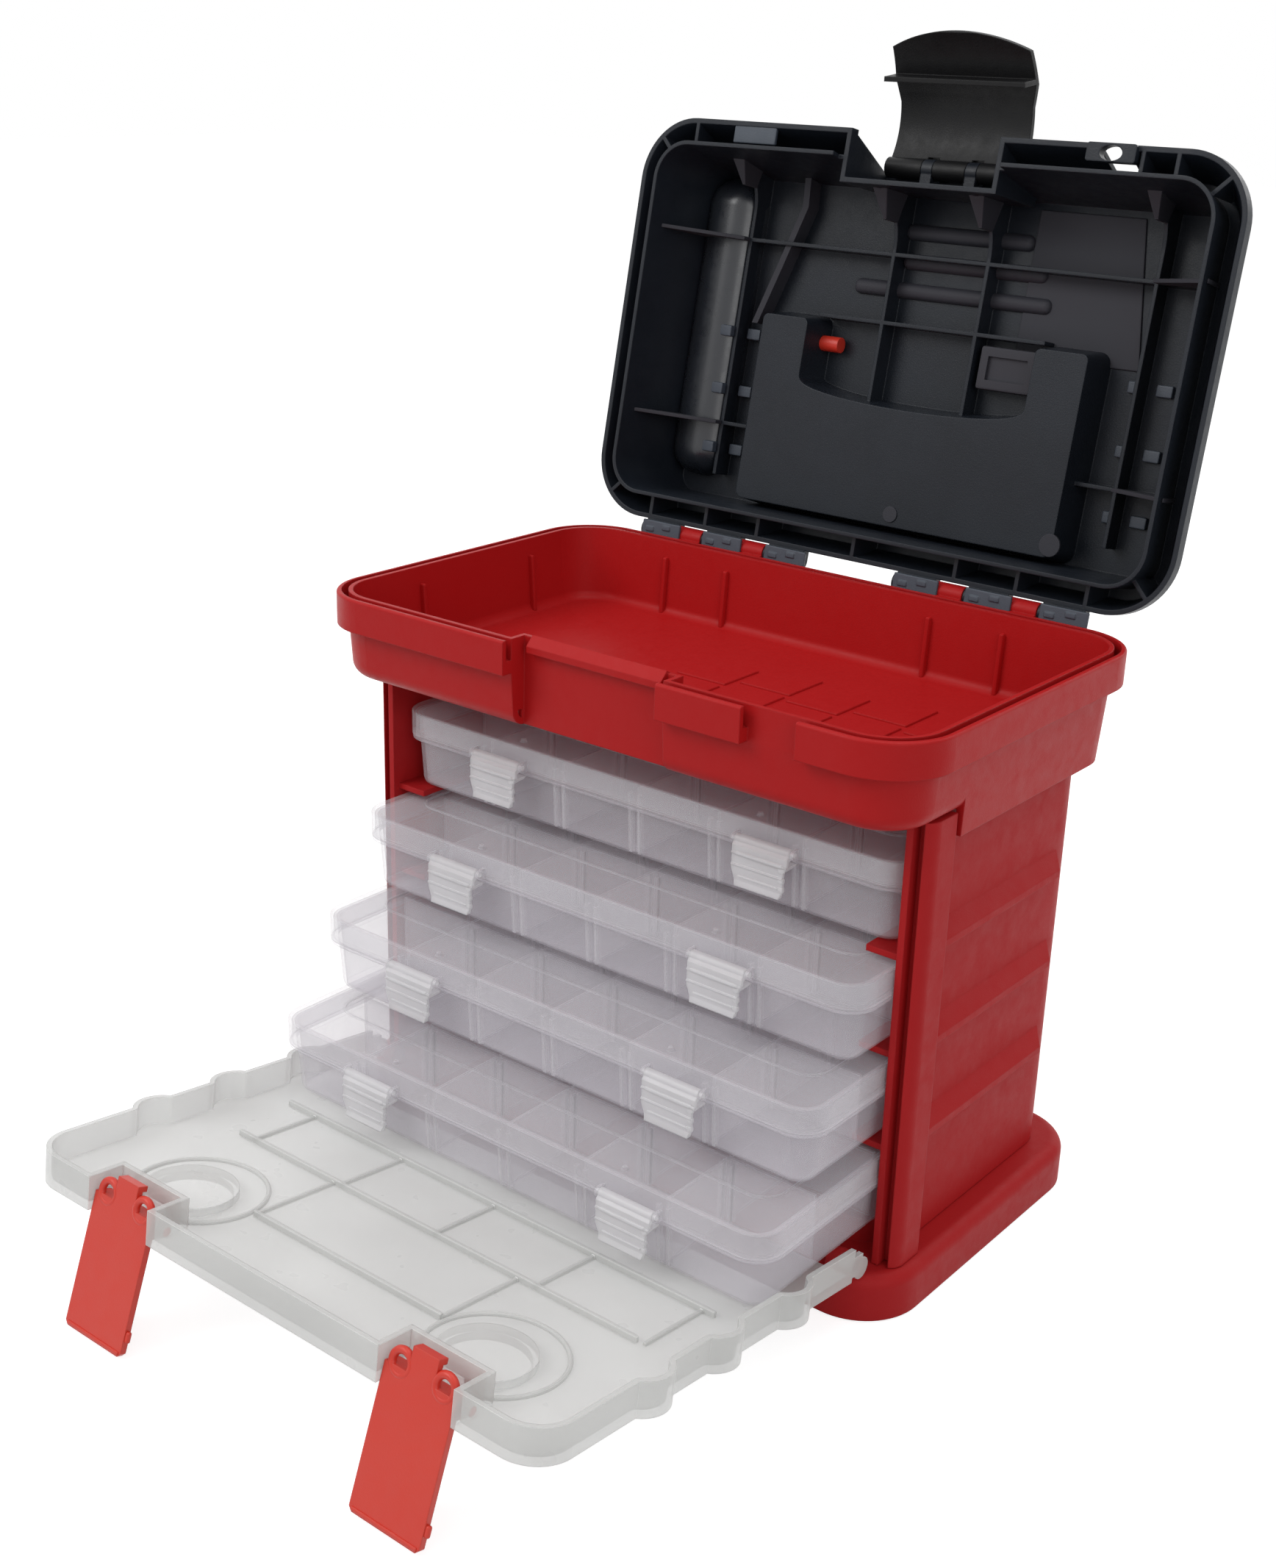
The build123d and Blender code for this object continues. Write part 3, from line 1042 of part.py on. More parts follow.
with BuildPart() as box_latch:
    # Side profile of the latch, cut to its tapering front shape
    pivot_z = BOX_HEIGHT - BOX_LATCH_PIVOT_DROP
    foot_z = BOX_HEIGHT - BOX_LATCH_DROP
    hook_z = BAND_BOTTOM - BOX_SEAT_GAP - BOX_SKIN - 2 * BOX_SEAT_GAP
    back = -BOX_LATCH_REACH + BOX_LATCH_SKIN
    with BuildSketch(Plane.YZ):
        with Locations((-BOX_LATCH_PIVOT_OUT, pivot_z)):
            Circle(BOX_LATCH_BARREL)
        Polygon(
            (-BOX_LATCH_PIVOT_OUT, pivot_z + BOX_LATCH_BARREL),
            (-BOX_LATCH_REACH, pivot_z - 1.5),
            (-BOX_LATCH_REACH, foot_z + 2),
            (-BOX_LATCH_REACH - 1, foot_z),
            (back, foot_z),
            (back, hook_z - 2.2),
            (0.8, hook_z - 1.2),
            (0.8, hook_z),
            (back, hook_z),
            (back, pivot_z - BOX_LATCH_BARREL - 0.6),
            (-BOX_LATCH_PIVOT_OUT, pivot_z - BOX_LATCH_BARREL),
            align=None,
        )
        with Locations((-BOX_LATCH_REACH, pivot_z - 4.5), (-BOX_LATCH_REACH, pivot_z - 9)):
            Circle(0.5)
    extrude(amount=BOX_LATCH_WIDTH / 2, both=True)
    with BuildSketch(Plane.XZ.offset(-2)):
        with BuildLine():
            Polyline(
                (-BOX_LATCH_WIDTH / 2, pivot_z + 3),
                (BOX_LATCH_WIDTH / 2, pivot_z + 3),
                (BOX_LATCH_WIDTH / 2, pivot_z - 5),
                (BOX_LATCH_WIDTH / 2 - 1.5, pivot_z - 7),
                (BOX_LATCH_FOOT / 2 + 1, foot_z + 3),
                (BOX_LATCH_FOOT / 2, foot_z - 1),
                (-BOX_LATCH_FOOT / 2, foot_z - 1),
                (-BOX_LATCH_WIDTH / 2, foot_z + 6),
                (-BOX_LATCH_WIDTH / 2, pivot_z + 3),
            )
        make_face()
    extrude(amount=20, mode=Mode.INTERSECT)
    with BuildSketch(Plane.YZ):
        with Locations((-BOX_LATCH_PIVOT_OUT, pivot_z)):
            Circle(BOX_LATCH_PIN)
    extrude(amount=BOX_LATCH_WIDTH / 2 + BOX_SEAT_GAP + BOX_LATCH_EAR - 0.1, both=True)


def place(piece, name, x, number):
    """Put one piece of a box in the rack at its own height and draw, and write it out."""
    spot = Location((x, BOX_FRONT[number - 1], BOX_BOTTOM[number - 1]))
    with BuildPart() as placed:
        add(piece.part.moved(spot))
    save(placed, "box_" + str(number) + "_" + name)


for number in (1, 2, 3, 4):
    place(tub, "tub", 0, number)
    place(dividers, "dividers", 0, number)
    place(box_lid, "lid", 0, number)
    place(box_latch, "latch_left", -BOX_LATCH_X, number)
    place(box_latch, "latch_right", BOX_LATCH_X, number)
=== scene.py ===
import json
import math

import bpy
from bpy.props import FloatProperty, FloatVectorProperty, PointerProperty
from mathutils import Matrix, Vector


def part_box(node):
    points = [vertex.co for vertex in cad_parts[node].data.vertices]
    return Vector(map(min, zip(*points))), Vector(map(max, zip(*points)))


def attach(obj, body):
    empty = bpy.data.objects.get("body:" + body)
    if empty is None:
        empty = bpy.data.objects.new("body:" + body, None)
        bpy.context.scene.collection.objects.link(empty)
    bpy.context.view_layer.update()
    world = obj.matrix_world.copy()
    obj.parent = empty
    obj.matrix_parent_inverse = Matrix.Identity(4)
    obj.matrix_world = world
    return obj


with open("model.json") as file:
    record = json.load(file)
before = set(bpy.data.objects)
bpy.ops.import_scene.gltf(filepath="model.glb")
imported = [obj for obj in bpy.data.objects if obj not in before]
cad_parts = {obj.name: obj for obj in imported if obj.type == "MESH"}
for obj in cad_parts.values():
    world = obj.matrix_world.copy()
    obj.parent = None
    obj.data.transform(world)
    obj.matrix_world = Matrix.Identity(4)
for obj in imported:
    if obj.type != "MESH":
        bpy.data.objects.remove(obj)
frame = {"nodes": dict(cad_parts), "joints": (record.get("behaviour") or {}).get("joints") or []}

bl_info = {
    "name": "Tool Box Organizer",
    "version": (1, 0, 0),
    "blender": (4, 5, 0),
    "location": "3D View > Sidebar > Tool Box",
    "description": "Dresses an open rack tool box: its tray, lid, organizer boxes and clear door",
    "category": "Object",
}

# All lengths are in metres. A place on the open lid, the door or a latch is given across, to
# the right of its middle, along, away from its hinge line, and out of its plane or, in the
# lid, by its depth under the rim.

SIDES = (-1, 1)
BOX_NUMBERS = (1, 2, 3, 4)
# A face this near to a plane lies on it
NEAR = 0.00005
SMOOTH_ANGLE = math.radians(35.0)

# Rounding of moulded edges
THIN_ROUNDING, LOW_ROUNDING, ROUNDING, STOUT_ROUNDING = 0.0003, 0.0004, 0.0005, 0.0006

# Noise patterns: size of a feature, detail and roughness
PATCHES = (0.05, 4.0, 0.6)
SCUFF_AND_HIGHLIGHT_PATCHES = (0.006, 6.0, 0.7)
CLOUDS = (0.05, 2.0, 0.5)
FINE_HAZE = (0.012, 2.0, 0.5)
RIPPLES = (0.02, 1.0, 0.5)
WIRE_LINES = (0.0008, 3.0, 0.6)
PAPER_SPECKLES = (0.02, 2.0, 0.5)
GRAIN_DETAIL, GRAIN_ROUGHNESS = 3.0, 0.6
RIPPLE_DEPTH, RIPPLE_STRENGTH = 0.0001, 0.35
FACING_BLEND = 0.45
# Share of the light that the darker places of a pattern keep
CLOUD_SHADE, PAPER_SHADE = 0.95, 0.985

# Tray: where the ribs stand on the back wall and on each side wall
TRAY_BACK_RIBS = (-0.0855, -0.053, 0.047, 0.080)
TRAY_SIDE_RIBS = (-0.0288, 0.0375)
# Share of a rib's width
TRAY_RIB_ROUNDING = 0.4
# Raised squares: their pitch is in squares, their start and stagger are in pitches
SQUARE_COLUMNS, SQUARE_LINES = 5, 2
SQUARE_PITCH = 1.12
SQUARE_START = (-0.6, -0.15)
SQUARE_STAGGER = 0.25
SQUARE_HEIGHT = 0.0016

# Lid: how far the back of a form is sunk into the ceiling
SUNK = 0.0008
BULGE = {
    "across": -0.1095, "along": 0.0905, "size": (0.029, 0.131), "top": 0.0252,
    "rounding": 0.0125, "segments": 8,
}
# Outer ends of the cross ribs, and how far their upper and lower corners reach
RIB_END_ACROSS, RIB_END_DEPTH = 0.1118, 0.0314
RIB_END_ALONG = (0.130, 0.050)
RIB_END_LENGTH, RIB_END_HEIGHT = 0.031, 0.0138
RIB_END_UPPER, RIB_END_LOWER = (0.0010, 0.0235), (-0.0030, 0.0083)
# Gussets: across and along
GUSSETS = ((-0.096, 0.158), (-0.0224, 0.149), (0.0224, 0.149), (0.096, 0.158))
GUSSET_DEPTH = 0.018
GUSSET_SIZE = (0.0075, 0.013, 0.018)
GUSSET_TAPER, GUSSET_DROP = 0.0028, 0.008
# Round ridges: across, along and length
ROUND_RIDGES = ((0.007, 0.1405, 0.060), (0.012, 0.1285, 0.068), (0.003, 0.1165, 0.094))
ROUND_RIDGE_WIDTH, ROUND_RIDGE_HEIGHT = 0.0066, 0.0032
ROUND_RIDGE_EDGES = {"rounding": 0.003, "segments": 4}
# Small blocks: lines along, and across and depth of the top within a line
SMALL_BLOCK_LINES = (0.090, 0.0648, 0.0388)
SMALL_BLOCKS = ((-0.1005, 0.0262), (-0.0905, 0.0345), (0.0925, 0.0365), (0.1045, 0.0365))
SMALL_BLOCK_SIZE = (0.0070, 0.0048)
PANEL_ACROSS, PANEL_ALONG, PANEL_SIZE = 0.060, 0.125, (0.046, 0.058)
PANEL_HEIGHT, PANEL_FLARE, PANEL_ROUNDING = 0.001, 0.009, 0.0008
HOUSING = {
    "across": 0.039, "along": 0.0895, "size": (0.026, 0.0175), "top": 0.0295,
    "rounding": 0.0012,
}
HOUSING_WALL, HOUSING_HOLLOW = 0.0028, 0.0015
# Slanting ridge: where it starts (across, along, out), its first block, and its runs (across,
# along)
SLANT_START = (-0.0720, 0.1600, -0.0345)
SLANT_SIZE, SLANT_EDGES = (0.0034, 0.0040, 0.0085), {"rounding": 0.0002, "segments": 1}
SLANT_RUNS = ((0.001, -0.012), (-0.0085, -0.026), (-0.0085, -0.025))
# Round marks: across and radius
MARKS = ((0.0022, 0.0034), (0.0766, 0.0046))
MARK_ALONG, MARK_HEIGHT, MARK_STEPS = 0.0246, 0.0012, 32
# Hinge plates with their notches, and the tab at the front edge (across, along, out)
PLATES = (-0.0955, -0.0625, -0.0295, 0.0345, 0.0675, 0.1005)
PLATE_ALONG, PLATE_OUT, PLATE_SIZE = 0.0003, 0.0042, (0.0205, 0.0076, 0.0014)
# Notches: across and along from the plate's middle
NOTCHES = ((-0.0058, 0.0), (0.0030, 0.0015))
NOTCH_OUT, NOTCH_SIZE = 0.0050, (0.0042, 0.0022, 0.0008)
TAB_PLACE, TAB_SIZE = (-0.082, 0.1700, -0.0012), (0.0215, 0.0072, 0.0018)

# Door: long ridges (along and length), short ticks (across, along and length) and the rims
# of the finger wells
DOOR_RIDGES = ((0.0648, 0.212), (0.097, 0.196), (0.135, 0.092))
DOOR_RIDGE_WIDTH, DOOR_RIDGE_HEIGHT, DOOR_RIDGE_RISE = 0.0018, 0.0030, 0.0006
DOOR_TICKS = tuple((-0.0905 + 0.0478 * number, 0.0808, 0.0325) for number in range(5))
WELL_TICK = (0.0455, 0.116, 0.0380)
TICK_WIDTH, TICK_HEIGHT, TICK_RISE = 0.0014, 0.0018, 0.0002
WELL_RIM = {"radius": 0.0245, "thickness": 0.0009, "steps": (64, 8)}
WELL_ACROSS, WELL_ALONG = 0.072, 0.138

# Door latches: the finger rings, the nib at the side and the lip at the free end
LATCH_RING = {"radius": 0.0040, "thickness": 0.0014, "steps": (40, 12)}
LATCH_RING_ACROSS, LATCH_RING_ALONG = 0.0093, 0.0046
NIB_ACROSS, NIB_ALONG, NIB_SIZE = 0.0155, -0.0385, (0.0028, 0.0042, 0.0018)
NIB_EDGES = {"rounding": 0.0008, "segments": 3}
LIP_ALONG, LIP_SIZE = -0.0450, (0.0285, 0.0014, 0.0010)

# Organizer boxes
BOX_COLUMNS = 5
# Grips on a box latch: across, back from the front, down from the top, size and rounding
GRIP_FRONT = 0.001
GRIPS = (
    (0.0, 0.0, 0.0062, (0.0205, 0.0014, 0.0016), ROUNDING),
    (0.0, 0.0, 0.0148, (0.0175, 0.0012, 0.0009), LOW_ROUNDING),
) + tuple(
    (0.0095, 0.0006, drop, (0.0026, 0.0018, 0.0024), 0.0007) for drop in (0.0080, 0.0118, 0.0152)
)

# Stage
FLOOR_REACH, FLOOR_DROP = 6.0, 0.0006
LAMP_TARGET = (0.0, -0.02, 0.18)
# Soft boxes: name, place, width, height and watts
LAMPS = (
    ("key_light", (-0.9, -1.3, 1.5), 1.1, 1.1, 15.0),
    ("fill_light", (1.5, -0.9, 0.9), 1.0, 1.2, 6.0),
    ("top_light", (0.1, 0.3, 1.8), 1.4, 1.0, 8.0),
    ("back_light", (0.4, 1.6, 1.1), 1.2, 0.9, 5.0),
)
SENSOR_WIDTH = 36.0
CLIP_START, CLIP_END = 0.01, 50.0
# Enough see-through layers for a stack of clear boxes
CLEAR_LAYERS = 48

# How each plastic differs from the defaults of its settings
LOOKS = {
    "red": {
        "colour": (0.41, 0.013, 0.015, 1.0), "haze_and_edge_highlight": (0.42, 0.022, 0.023, 1.0),
        "roughness": 0.5, "gloss": 0.12,
    },
    "tray_red": {
        "colour": (0.43, 0.010, 0.011, 1.0), "haze_and_edge_highlight": (0.45, 0.018, 0.018, 1.0),
        "roughness": 0.42, "gloss": 0.14,
    },
    "black": {
        "colour": (0.010, 0.0125, 0.018, 1.0), "haze_and_edge_highlight": (0.034, 0.042, 0.056, 1.0),
        "roughness": 0.36, "gloss": 0.24,
    },
    "polished_black": {
        "colour": (0.011, 0.0135, 0.019, 1.0), "haze_and_edge_highlight": (0.030, 0.036, 0.048, 1.0),
        "roughness": 0.3, "gloss": 0.7, "grain_depth": 0.000008,
    },
    "plate_grey": {
        "colour": (0.042, 0.053, 0.072, 1.0), "haze_and_edge_highlight": (0.08, 0.10, 0.13, 1.0),
        "roughness": 0.45,
    },
    "latch_black": {
        "colour": (0.006, 0.006, 0.0065, 1.0), "haze_and_edge_highlight": (0.018, 0.018, 0.02, 1.0),
        "roughness": 0.42, "gloss": 0.2,
    },
    "latch_red": {
        "colour": (0.66, 0.038, 0.020, 1.0), "haze_and_edge_highlight": (0.68, 0.07, 0.04, 1.0),
        "roughness": 0.36,
    },
    "box_clear": {
        "colour": (0.93, 0.90, 0.96, 1.0), "face_cover": 0.21, "glance_cover": 0.5,
        "edge_cover": 0.5,
    },
    "lid_clear": {
        "colour": (0.95, 0.93, 0.97, 1.0), "face_cover": 0.19, "glance_cover": 0.6,
        "roughness": 0.16,
    },
    "wall_clear": {
        "colour": (0.96, 0.94, 0.97, 1.0), "face_cover": 0.22, "glance_cover": 0.6,
        "edge_cover": 0.9,
    },
    "milky": {
        "colour": (0.93, 0.92, 0.94, 1.0), "face_cover": 0.42, "glance_cover": 0.8,
        "edge_cover": 0.85, "painted_edge_colour": (0.9, 0.9, 0.92, 1.0),
    },
    # The door's near-white edge colour is a painted highlight along its edges
    "door_clear": {
        "colour": (0.76, 0.765, 0.75, 1.0), "face_cover": 0.5, "glance_cover": 0.85,
        "edge_cover": 0.9, "painted_edge_colour": (0.97, 0.98, 0.965, 1.0), "roughness": 0.3,
    },
}


# --- Settings ---

def colour_property(name, description, default):
    """A colour setting with four channels."""
    return FloatVectorProperty(
        name=name, description=description, default=default, size=4, min=0.0, max=1.0,
        subtype="COLOR",
    )


def length_property(name, description, default, least=0.0):
    """A length setting in metres."""
    return FloatProperty(
        name=name, description=description, default=default, min=least, unit="LENGTH"
    )


def share_property(name, description, default):
    """A setting from none, 0, to all, 1."""
    return FloatProperty(
        name=name, description=description, default=default, min=0.0, max=1.0, subtype="FACTOR"
    )


def angle_property(name, description, degrees):
    """An angle setting whose default is given in degrees."""
    return FloatProperty(
        name=name, description=description, default=math.radians(degrees), subtype="ANGLE"
    )


class MouldedSettings(bpy.types.PropertyGroup):
    """How one moulded, solid-coloured plastic looks."""

    colour: colour_property("Colour", "Main colour of the plastic", (0.4, 0.02, 0.02, 1.0))
    # Haze shows in random patches and as the painted highlight along edges
    haze_and_edge_highlight: colour_property("Haze", "Paler colour of rubbed places", (0.5, 0.1, 0.1, 1.0))
    haze_share: share_property("Haze share", "How much of the haze shows", 0.25)
    roughness: share_property("Roughness", "Mean roughness of the surface", 0.45)
    gloss: share_property("Gloss", "Strength of the reflections", 0.45)
    grain: length_property("Grain", "Size of one grain of the moulded texture", 0.0006, 0.0001)
    grain_depth: length_property("Grain depth", "Height of the moulded texture", 0.00006)
    edge: length_property("Edge width", "Width over which edges catch the light", 0.0007)


class ClearSettings(bpy.types.PropertyGroup):
    """How one milky, see-through plastic looks."""

    colour: colour_property("Colour", "Colour of the plastic", (0.85, 0.84, 0.86, 1.0))
    face_cover: share_property(
        "Cover seen square on", "Share hidden behind one surface seen squarely", 0.16
    )
    glance_cover: share_property(
        "Cover at a glance", "Share hidden behind one surface seen from the side", 0.75
    )
    edge: length_property("Edge width", "Width over which edges look denser", 0.0006)
    edge_cover: share_property("Cover of edges", "Share hidden behind a sharp edge", 0.6)
    # Colour painted on sharp edges as the light and shade they show
    painted_edge_colour: colour_property("Edge colour", "Colour of sharp edges", (0.8, 0.78, 0.82, 1.0))
    roughness: share_property("Roughness", "Mean roughness of the surface", 0.2)
    gloss: share_property("Gloss", "Strength of the reflections", 0.5)


class DetailSizes(bpy.types.PropertyGroup):
    """Sizes of the small moulded forms."""

    draft: angle_property("Draft", "Lean of the moulded walls", 4.0)
    tray_floor: length_property("Tray floor", "Height of the tray's floor", 0.1937)
    tray_rib_top: length_property("Tray rib top", "Height of the top of the tray's ribs", 0.2186)
    tray_rib: length_property("Tray rib", "Width of one rib in the tray", 0.0022)
    tray_half_width: length_property(
        "Tray half width", "Middle to side wall at the rib top", 0.1304
    )
    tray_half_depth: length_property(
        "Tray half depth", "Middle to back wall at the rib top", 0.0768
    )
    tray_square: length_property("Tray square", "Side of one raised square", 0.0235)
    lid_lean: angle_property("Lid lean", "How far the open lid leans back", 11.3)
    lid_ceiling: length_property("Lid ceiling", "Depth of the lid's inner face", 0.0385)
    lid_rib: length_property("Lid rib", "Thickness of the lid's ribs", 0.0016)
    well_depth: length_property("Well depth", "Depth of the face of the handle well", 0.0215)
    box_floor: length_property("Box floor", "Thickness of a box floor", 0.0016)
    box_column: length_property("Box column", "Width of one compartment", 0.0374)
    box_wall_inset: length_property(
        "Box wall inset", "Band edge to the wall's inner face", 0.0037
    )
    row_wall: length_property("Row wall", "Box middle to the middle of a row wall", 0.01883)
    slot_gap: length_property("Slot gap", "Slot middle to the middle of each rib", 0.0021)
    slot_rib: length_property("Slot rib", "Width of a slot rib", 0.0016)
    slot_rib_reach: length_property("Slot rib reach", "How far a slot rib stands out", 0.0024)
    slot_rib_height: length_property("Slot rib height", "Height of a slot rib", 0.0245)
    door_tilt: angle_property("Door tilt", "Rise of the open door towards its front edge", 7.2)
    door_face: length_property("Door face", "Hinge line down to the door's inner face", 0.002)
    flap_angle: angle_property(
        "Flap angle", "Turn of the hanging latches against the door", 103.0
    )
    flap_face: length_property("Flap back", "Latch pivot to the back of the flap", 0.0034)
    flap_front: length_property("Flap front", "Latch pivot to the front of the flap", 0.0058)


class StageSettings(bpy.types.PropertyGroup):
    """Camera, light and floor."""

    azimuth: angle_property(
        "Azimuth", "Camera direction around the box, from the front towards its right", 38.33
    )
    elevation: angle_property("Elevation", "Camera height above the horizon", 20.89)
    roll: angle_property("Roll", "Camera roll", 1.71)
    distance: length_property(
        "Distance", "Camera distance from the point it looks at", 0.7941, 0.1
    )
    target: FloatVectorProperty(
        name="Target", description="Point that the camera looks at",
        default=(-0.0326, -0.0058, 0.1497), size=3, subtype="TRANSLATION", unit="LENGTH",
    )
    lens: FloatProperty(
        name="Lens", description="Focal length for a 36 mm long side", default=45.41, min=10.0,
        unit="CAMERA",
    )
    backdrop: colour_property("Backdrop", "Colour of all that is round the box", (1.0,) * 4)
    sky_light: FloatProperty(
        name="Sky light", description="Strength of the light from all round", default=0.46,
        min=0.0,
    )
    floor_share: share_property(
        "Floor paleness", "Share of the light that the floor sends back", 0.55
    )
    floor_glow: FloatProperty(
        name="Floor glow", description="What the floor adds where it is seen", default=0.78,
        min=0.0,
    )


class ToolBoxSettings(bpy.types.PropertyGroup):
    """All settings of the tool box."""

    red: PointerProperty(type=MouldedSettings)
    tray_red: PointerProperty(type=MouldedSettings)
    black: PointerProperty(type=MouldedSettings)
    latch_black: PointerProperty(type=MouldedSettings)
    plate_grey: PointerProperty(type=MouldedSettings)
    polished_black: PointerProperty(type=MouldedSettings)
    latch_red: PointerProperty(type=MouldedSettings)
    box_clear: PointerProperty(type=ClearSettings)
    lid_clear: PointerProperty(type=ClearSettings)
    wall_clear: PointerProperty(type=ClearSettings)
    milky: PointerProperty(type=ClearSettings)
    door_clear: PointerProperty(type=ClearSettings)
    sizes: PointerProperty(type=DetailSizes)
    stage: PointerProperty(type=StageSettings)


def settings():
    """The settings kept on the scene."""
    return bpy.context.scene.tool_box


def choose_looks():
    """Give each plastic the look of the object's own."""
    for plastic, look in LOOKS.items():
        for key, value in look.items():
            setattr(getattr(settings(), plastic), key, value)


# --- Materials ---

def add_node(tree, kind, place, **changes):
    """A node at a place in the tree, with some of its own choices changed."""
    made = tree.nodes.new("ShaderNode" + kind)
    made.location = place
    for key, value in changes.items():
        setattr(made, key, value)
    return made


def plug(tree, value, socket):
    """Give a socket its value: a link from another socket, a number or a colour."""
    if hasattr(value, "is_output"):
        tree.links.new(value, socket)
    elif isinstance(value, float):
        socket.default_value = value
    else:
        socket.default_value = tuple(value)


def new_material(name):
    """An empty node material with its output and main shader."""
    mat = bpy.data.materials.new(name)
    mat.use_nodes = True
    tree = mat.node_tree
    tree.nodes.clear()
    out = add_node(tree, "OutputMaterial", (900, 0))
    shader = add_node(tree, "BsdfPrincipled", (600, 0))
    plug(tree, shader.outputs["BSDF"], out.inputs["Surface"])
    return mat, tree, shader


def coordinates(tree, place):
    """Where a point lies on its object."""
    return add_node(tree, "TexCoord", place).outputs["Object"]


def noise(tree, place, pattern, vector):
    """A noise pattern with features of about one size, in metres."""
    size, detail, roughness = pattern
    made = add_node(tree, "TexNoise", place)
    for key, value in (
        ("Scale", 1.0 / size), ("Detail", detail), ("Roughness", roughness), ("Vector", vector),
    ):
        plug(tree, value, made.inputs[key])
    return made.outputs["Fac"]


def remap(tree, value, start, end, place):
    """A value moved from one range to another, clamped."""
    made = add_node(tree, "MapRange", place)
    for key, number in zip(("From Min", "From Max", "To Min", "To Max"), start + end):
        plug(tree, number, made.inputs[key])
    plug(tree, value, made.inputs["Value"])
    return made.outputs["Result"]


def calculate(tree, operation, first, second, place):
    """A sum on two values, each of them a number or a socket."""
    made = add_node(tree, "Math", place, operation=operation)
    plug(tree, first, made.inputs[0])
    plug(tree, second, made.inputs[1])
    return made.outputs[0]


def mix_colour(tree, factor, first, second, place):
    """A mix of two colours by a factor; each colour is a value or a socket."""
    made = add_node(tree, "Mix", place, data_type="RGBA")
    plug(tree, factor, made.inputs[0])
    plug(tree, first, made.inputs[6])
    plug(tree, second, made.inputs[7])
    return made.outputs[2]


def edge_mask(tree, width, place):
    """The rounded normal near edges, and how far it turns from the flat one."""
    left, top = place
    bevel = add_node(tree, "Bevel", place, samples=4)
    plug(tree, width, bevel.inputs["Radius"])
    geometry = add_node(tree, "NewGeometry", (left, top - 200))
    dot = add_node(tree, "VectorMath", (left + 200, top), operation="DOT_PRODUCT")
    plug(tree, bevel.outputs["Normal"], dot.inputs[0])
    plug(tree, geometry.outputs["Normal"], dot.inputs[1])
    turned = remap(tree, dot.outputs["Value"], (0.99, 0.8), (0.0, 1.0), (left + 400, top))
    return bevel.outputs["Normal"], turned


def add_bump(tree, shader, height, normal, strength, depth):
    """Raise a pattern on a shader's surface, on top of the normal near its edges."""
    bump = add_node(tree, "Bump", (0, -300))
    for key, value in (
        ("Strength", strength), ("Distance", depth), ("Height", height), ("Normal", normal),
    ):
        plug(tree, value, bump.inputs[key])
    plug(tree, bump.outputs["Normal"], shader.inputs["Normal"])


def moulded_plastic(name, s):
    """A solid-coloured plastic with fine grain, faint mottling and painted highlights on its
    edges.
    """
    mat, tree, shader = new_material(name)
    place = coordinates(tree, (-1200, 0))
    normal, edges = edge_mask(tree, s.edge, (-1000, -500))
    patches = noise(tree, (-1000, 300), PATCHES, place)
    scuff_and_highlight_noise = noise(tree, (-1000, 100), SCUFF_AND_HIGHLIGHT_PATCHES, place)
    grain = noise(tree, (-1000, -300), (s.grain, GRAIN_DETAIL, GRAIN_ROUGHNESS), place)
    hazy = remap(tree, patches, (0.35, 0.75), (0.0, s.haze_share), (-700, 300))
    mottled = mix_colour(tree, hazy, s.colour, s.haze_and_edge_highlight, (-450, 300))
    # Painted highlight: edges take the paler haze colour, patchy by the scuff noise
    edge_highlight_spread = remap(tree, scuff_and_highlight_noise, (0.3, 0.8), (0.15, 0.6), (-900, -150))
    painted_edge_highlight = calculate(tree, "MULTIPLY", edges, edge_highlight_spread, (-700, -100))
    colour = mix_colour(tree, painted_edge_highlight, mottled, s.haze_and_edge_highlight, (-200, 200))
    plug(tree, colour, shader.inputs["Base Color"])
    rough = remap(tree, scuff_and_highlight_noise, (0.3, 0.7), (s.roughness - 0.07, s.roughness + 0.08), (-450, 0))
    plug(tree, rough, shader.inputs["Roughness"])
    plug(tree, s.gloss, shader.inputs["Specular IOR Level"])
    add_bump(tree, shader, grain, normal, 1.0, s.grain_depth)
    return mat


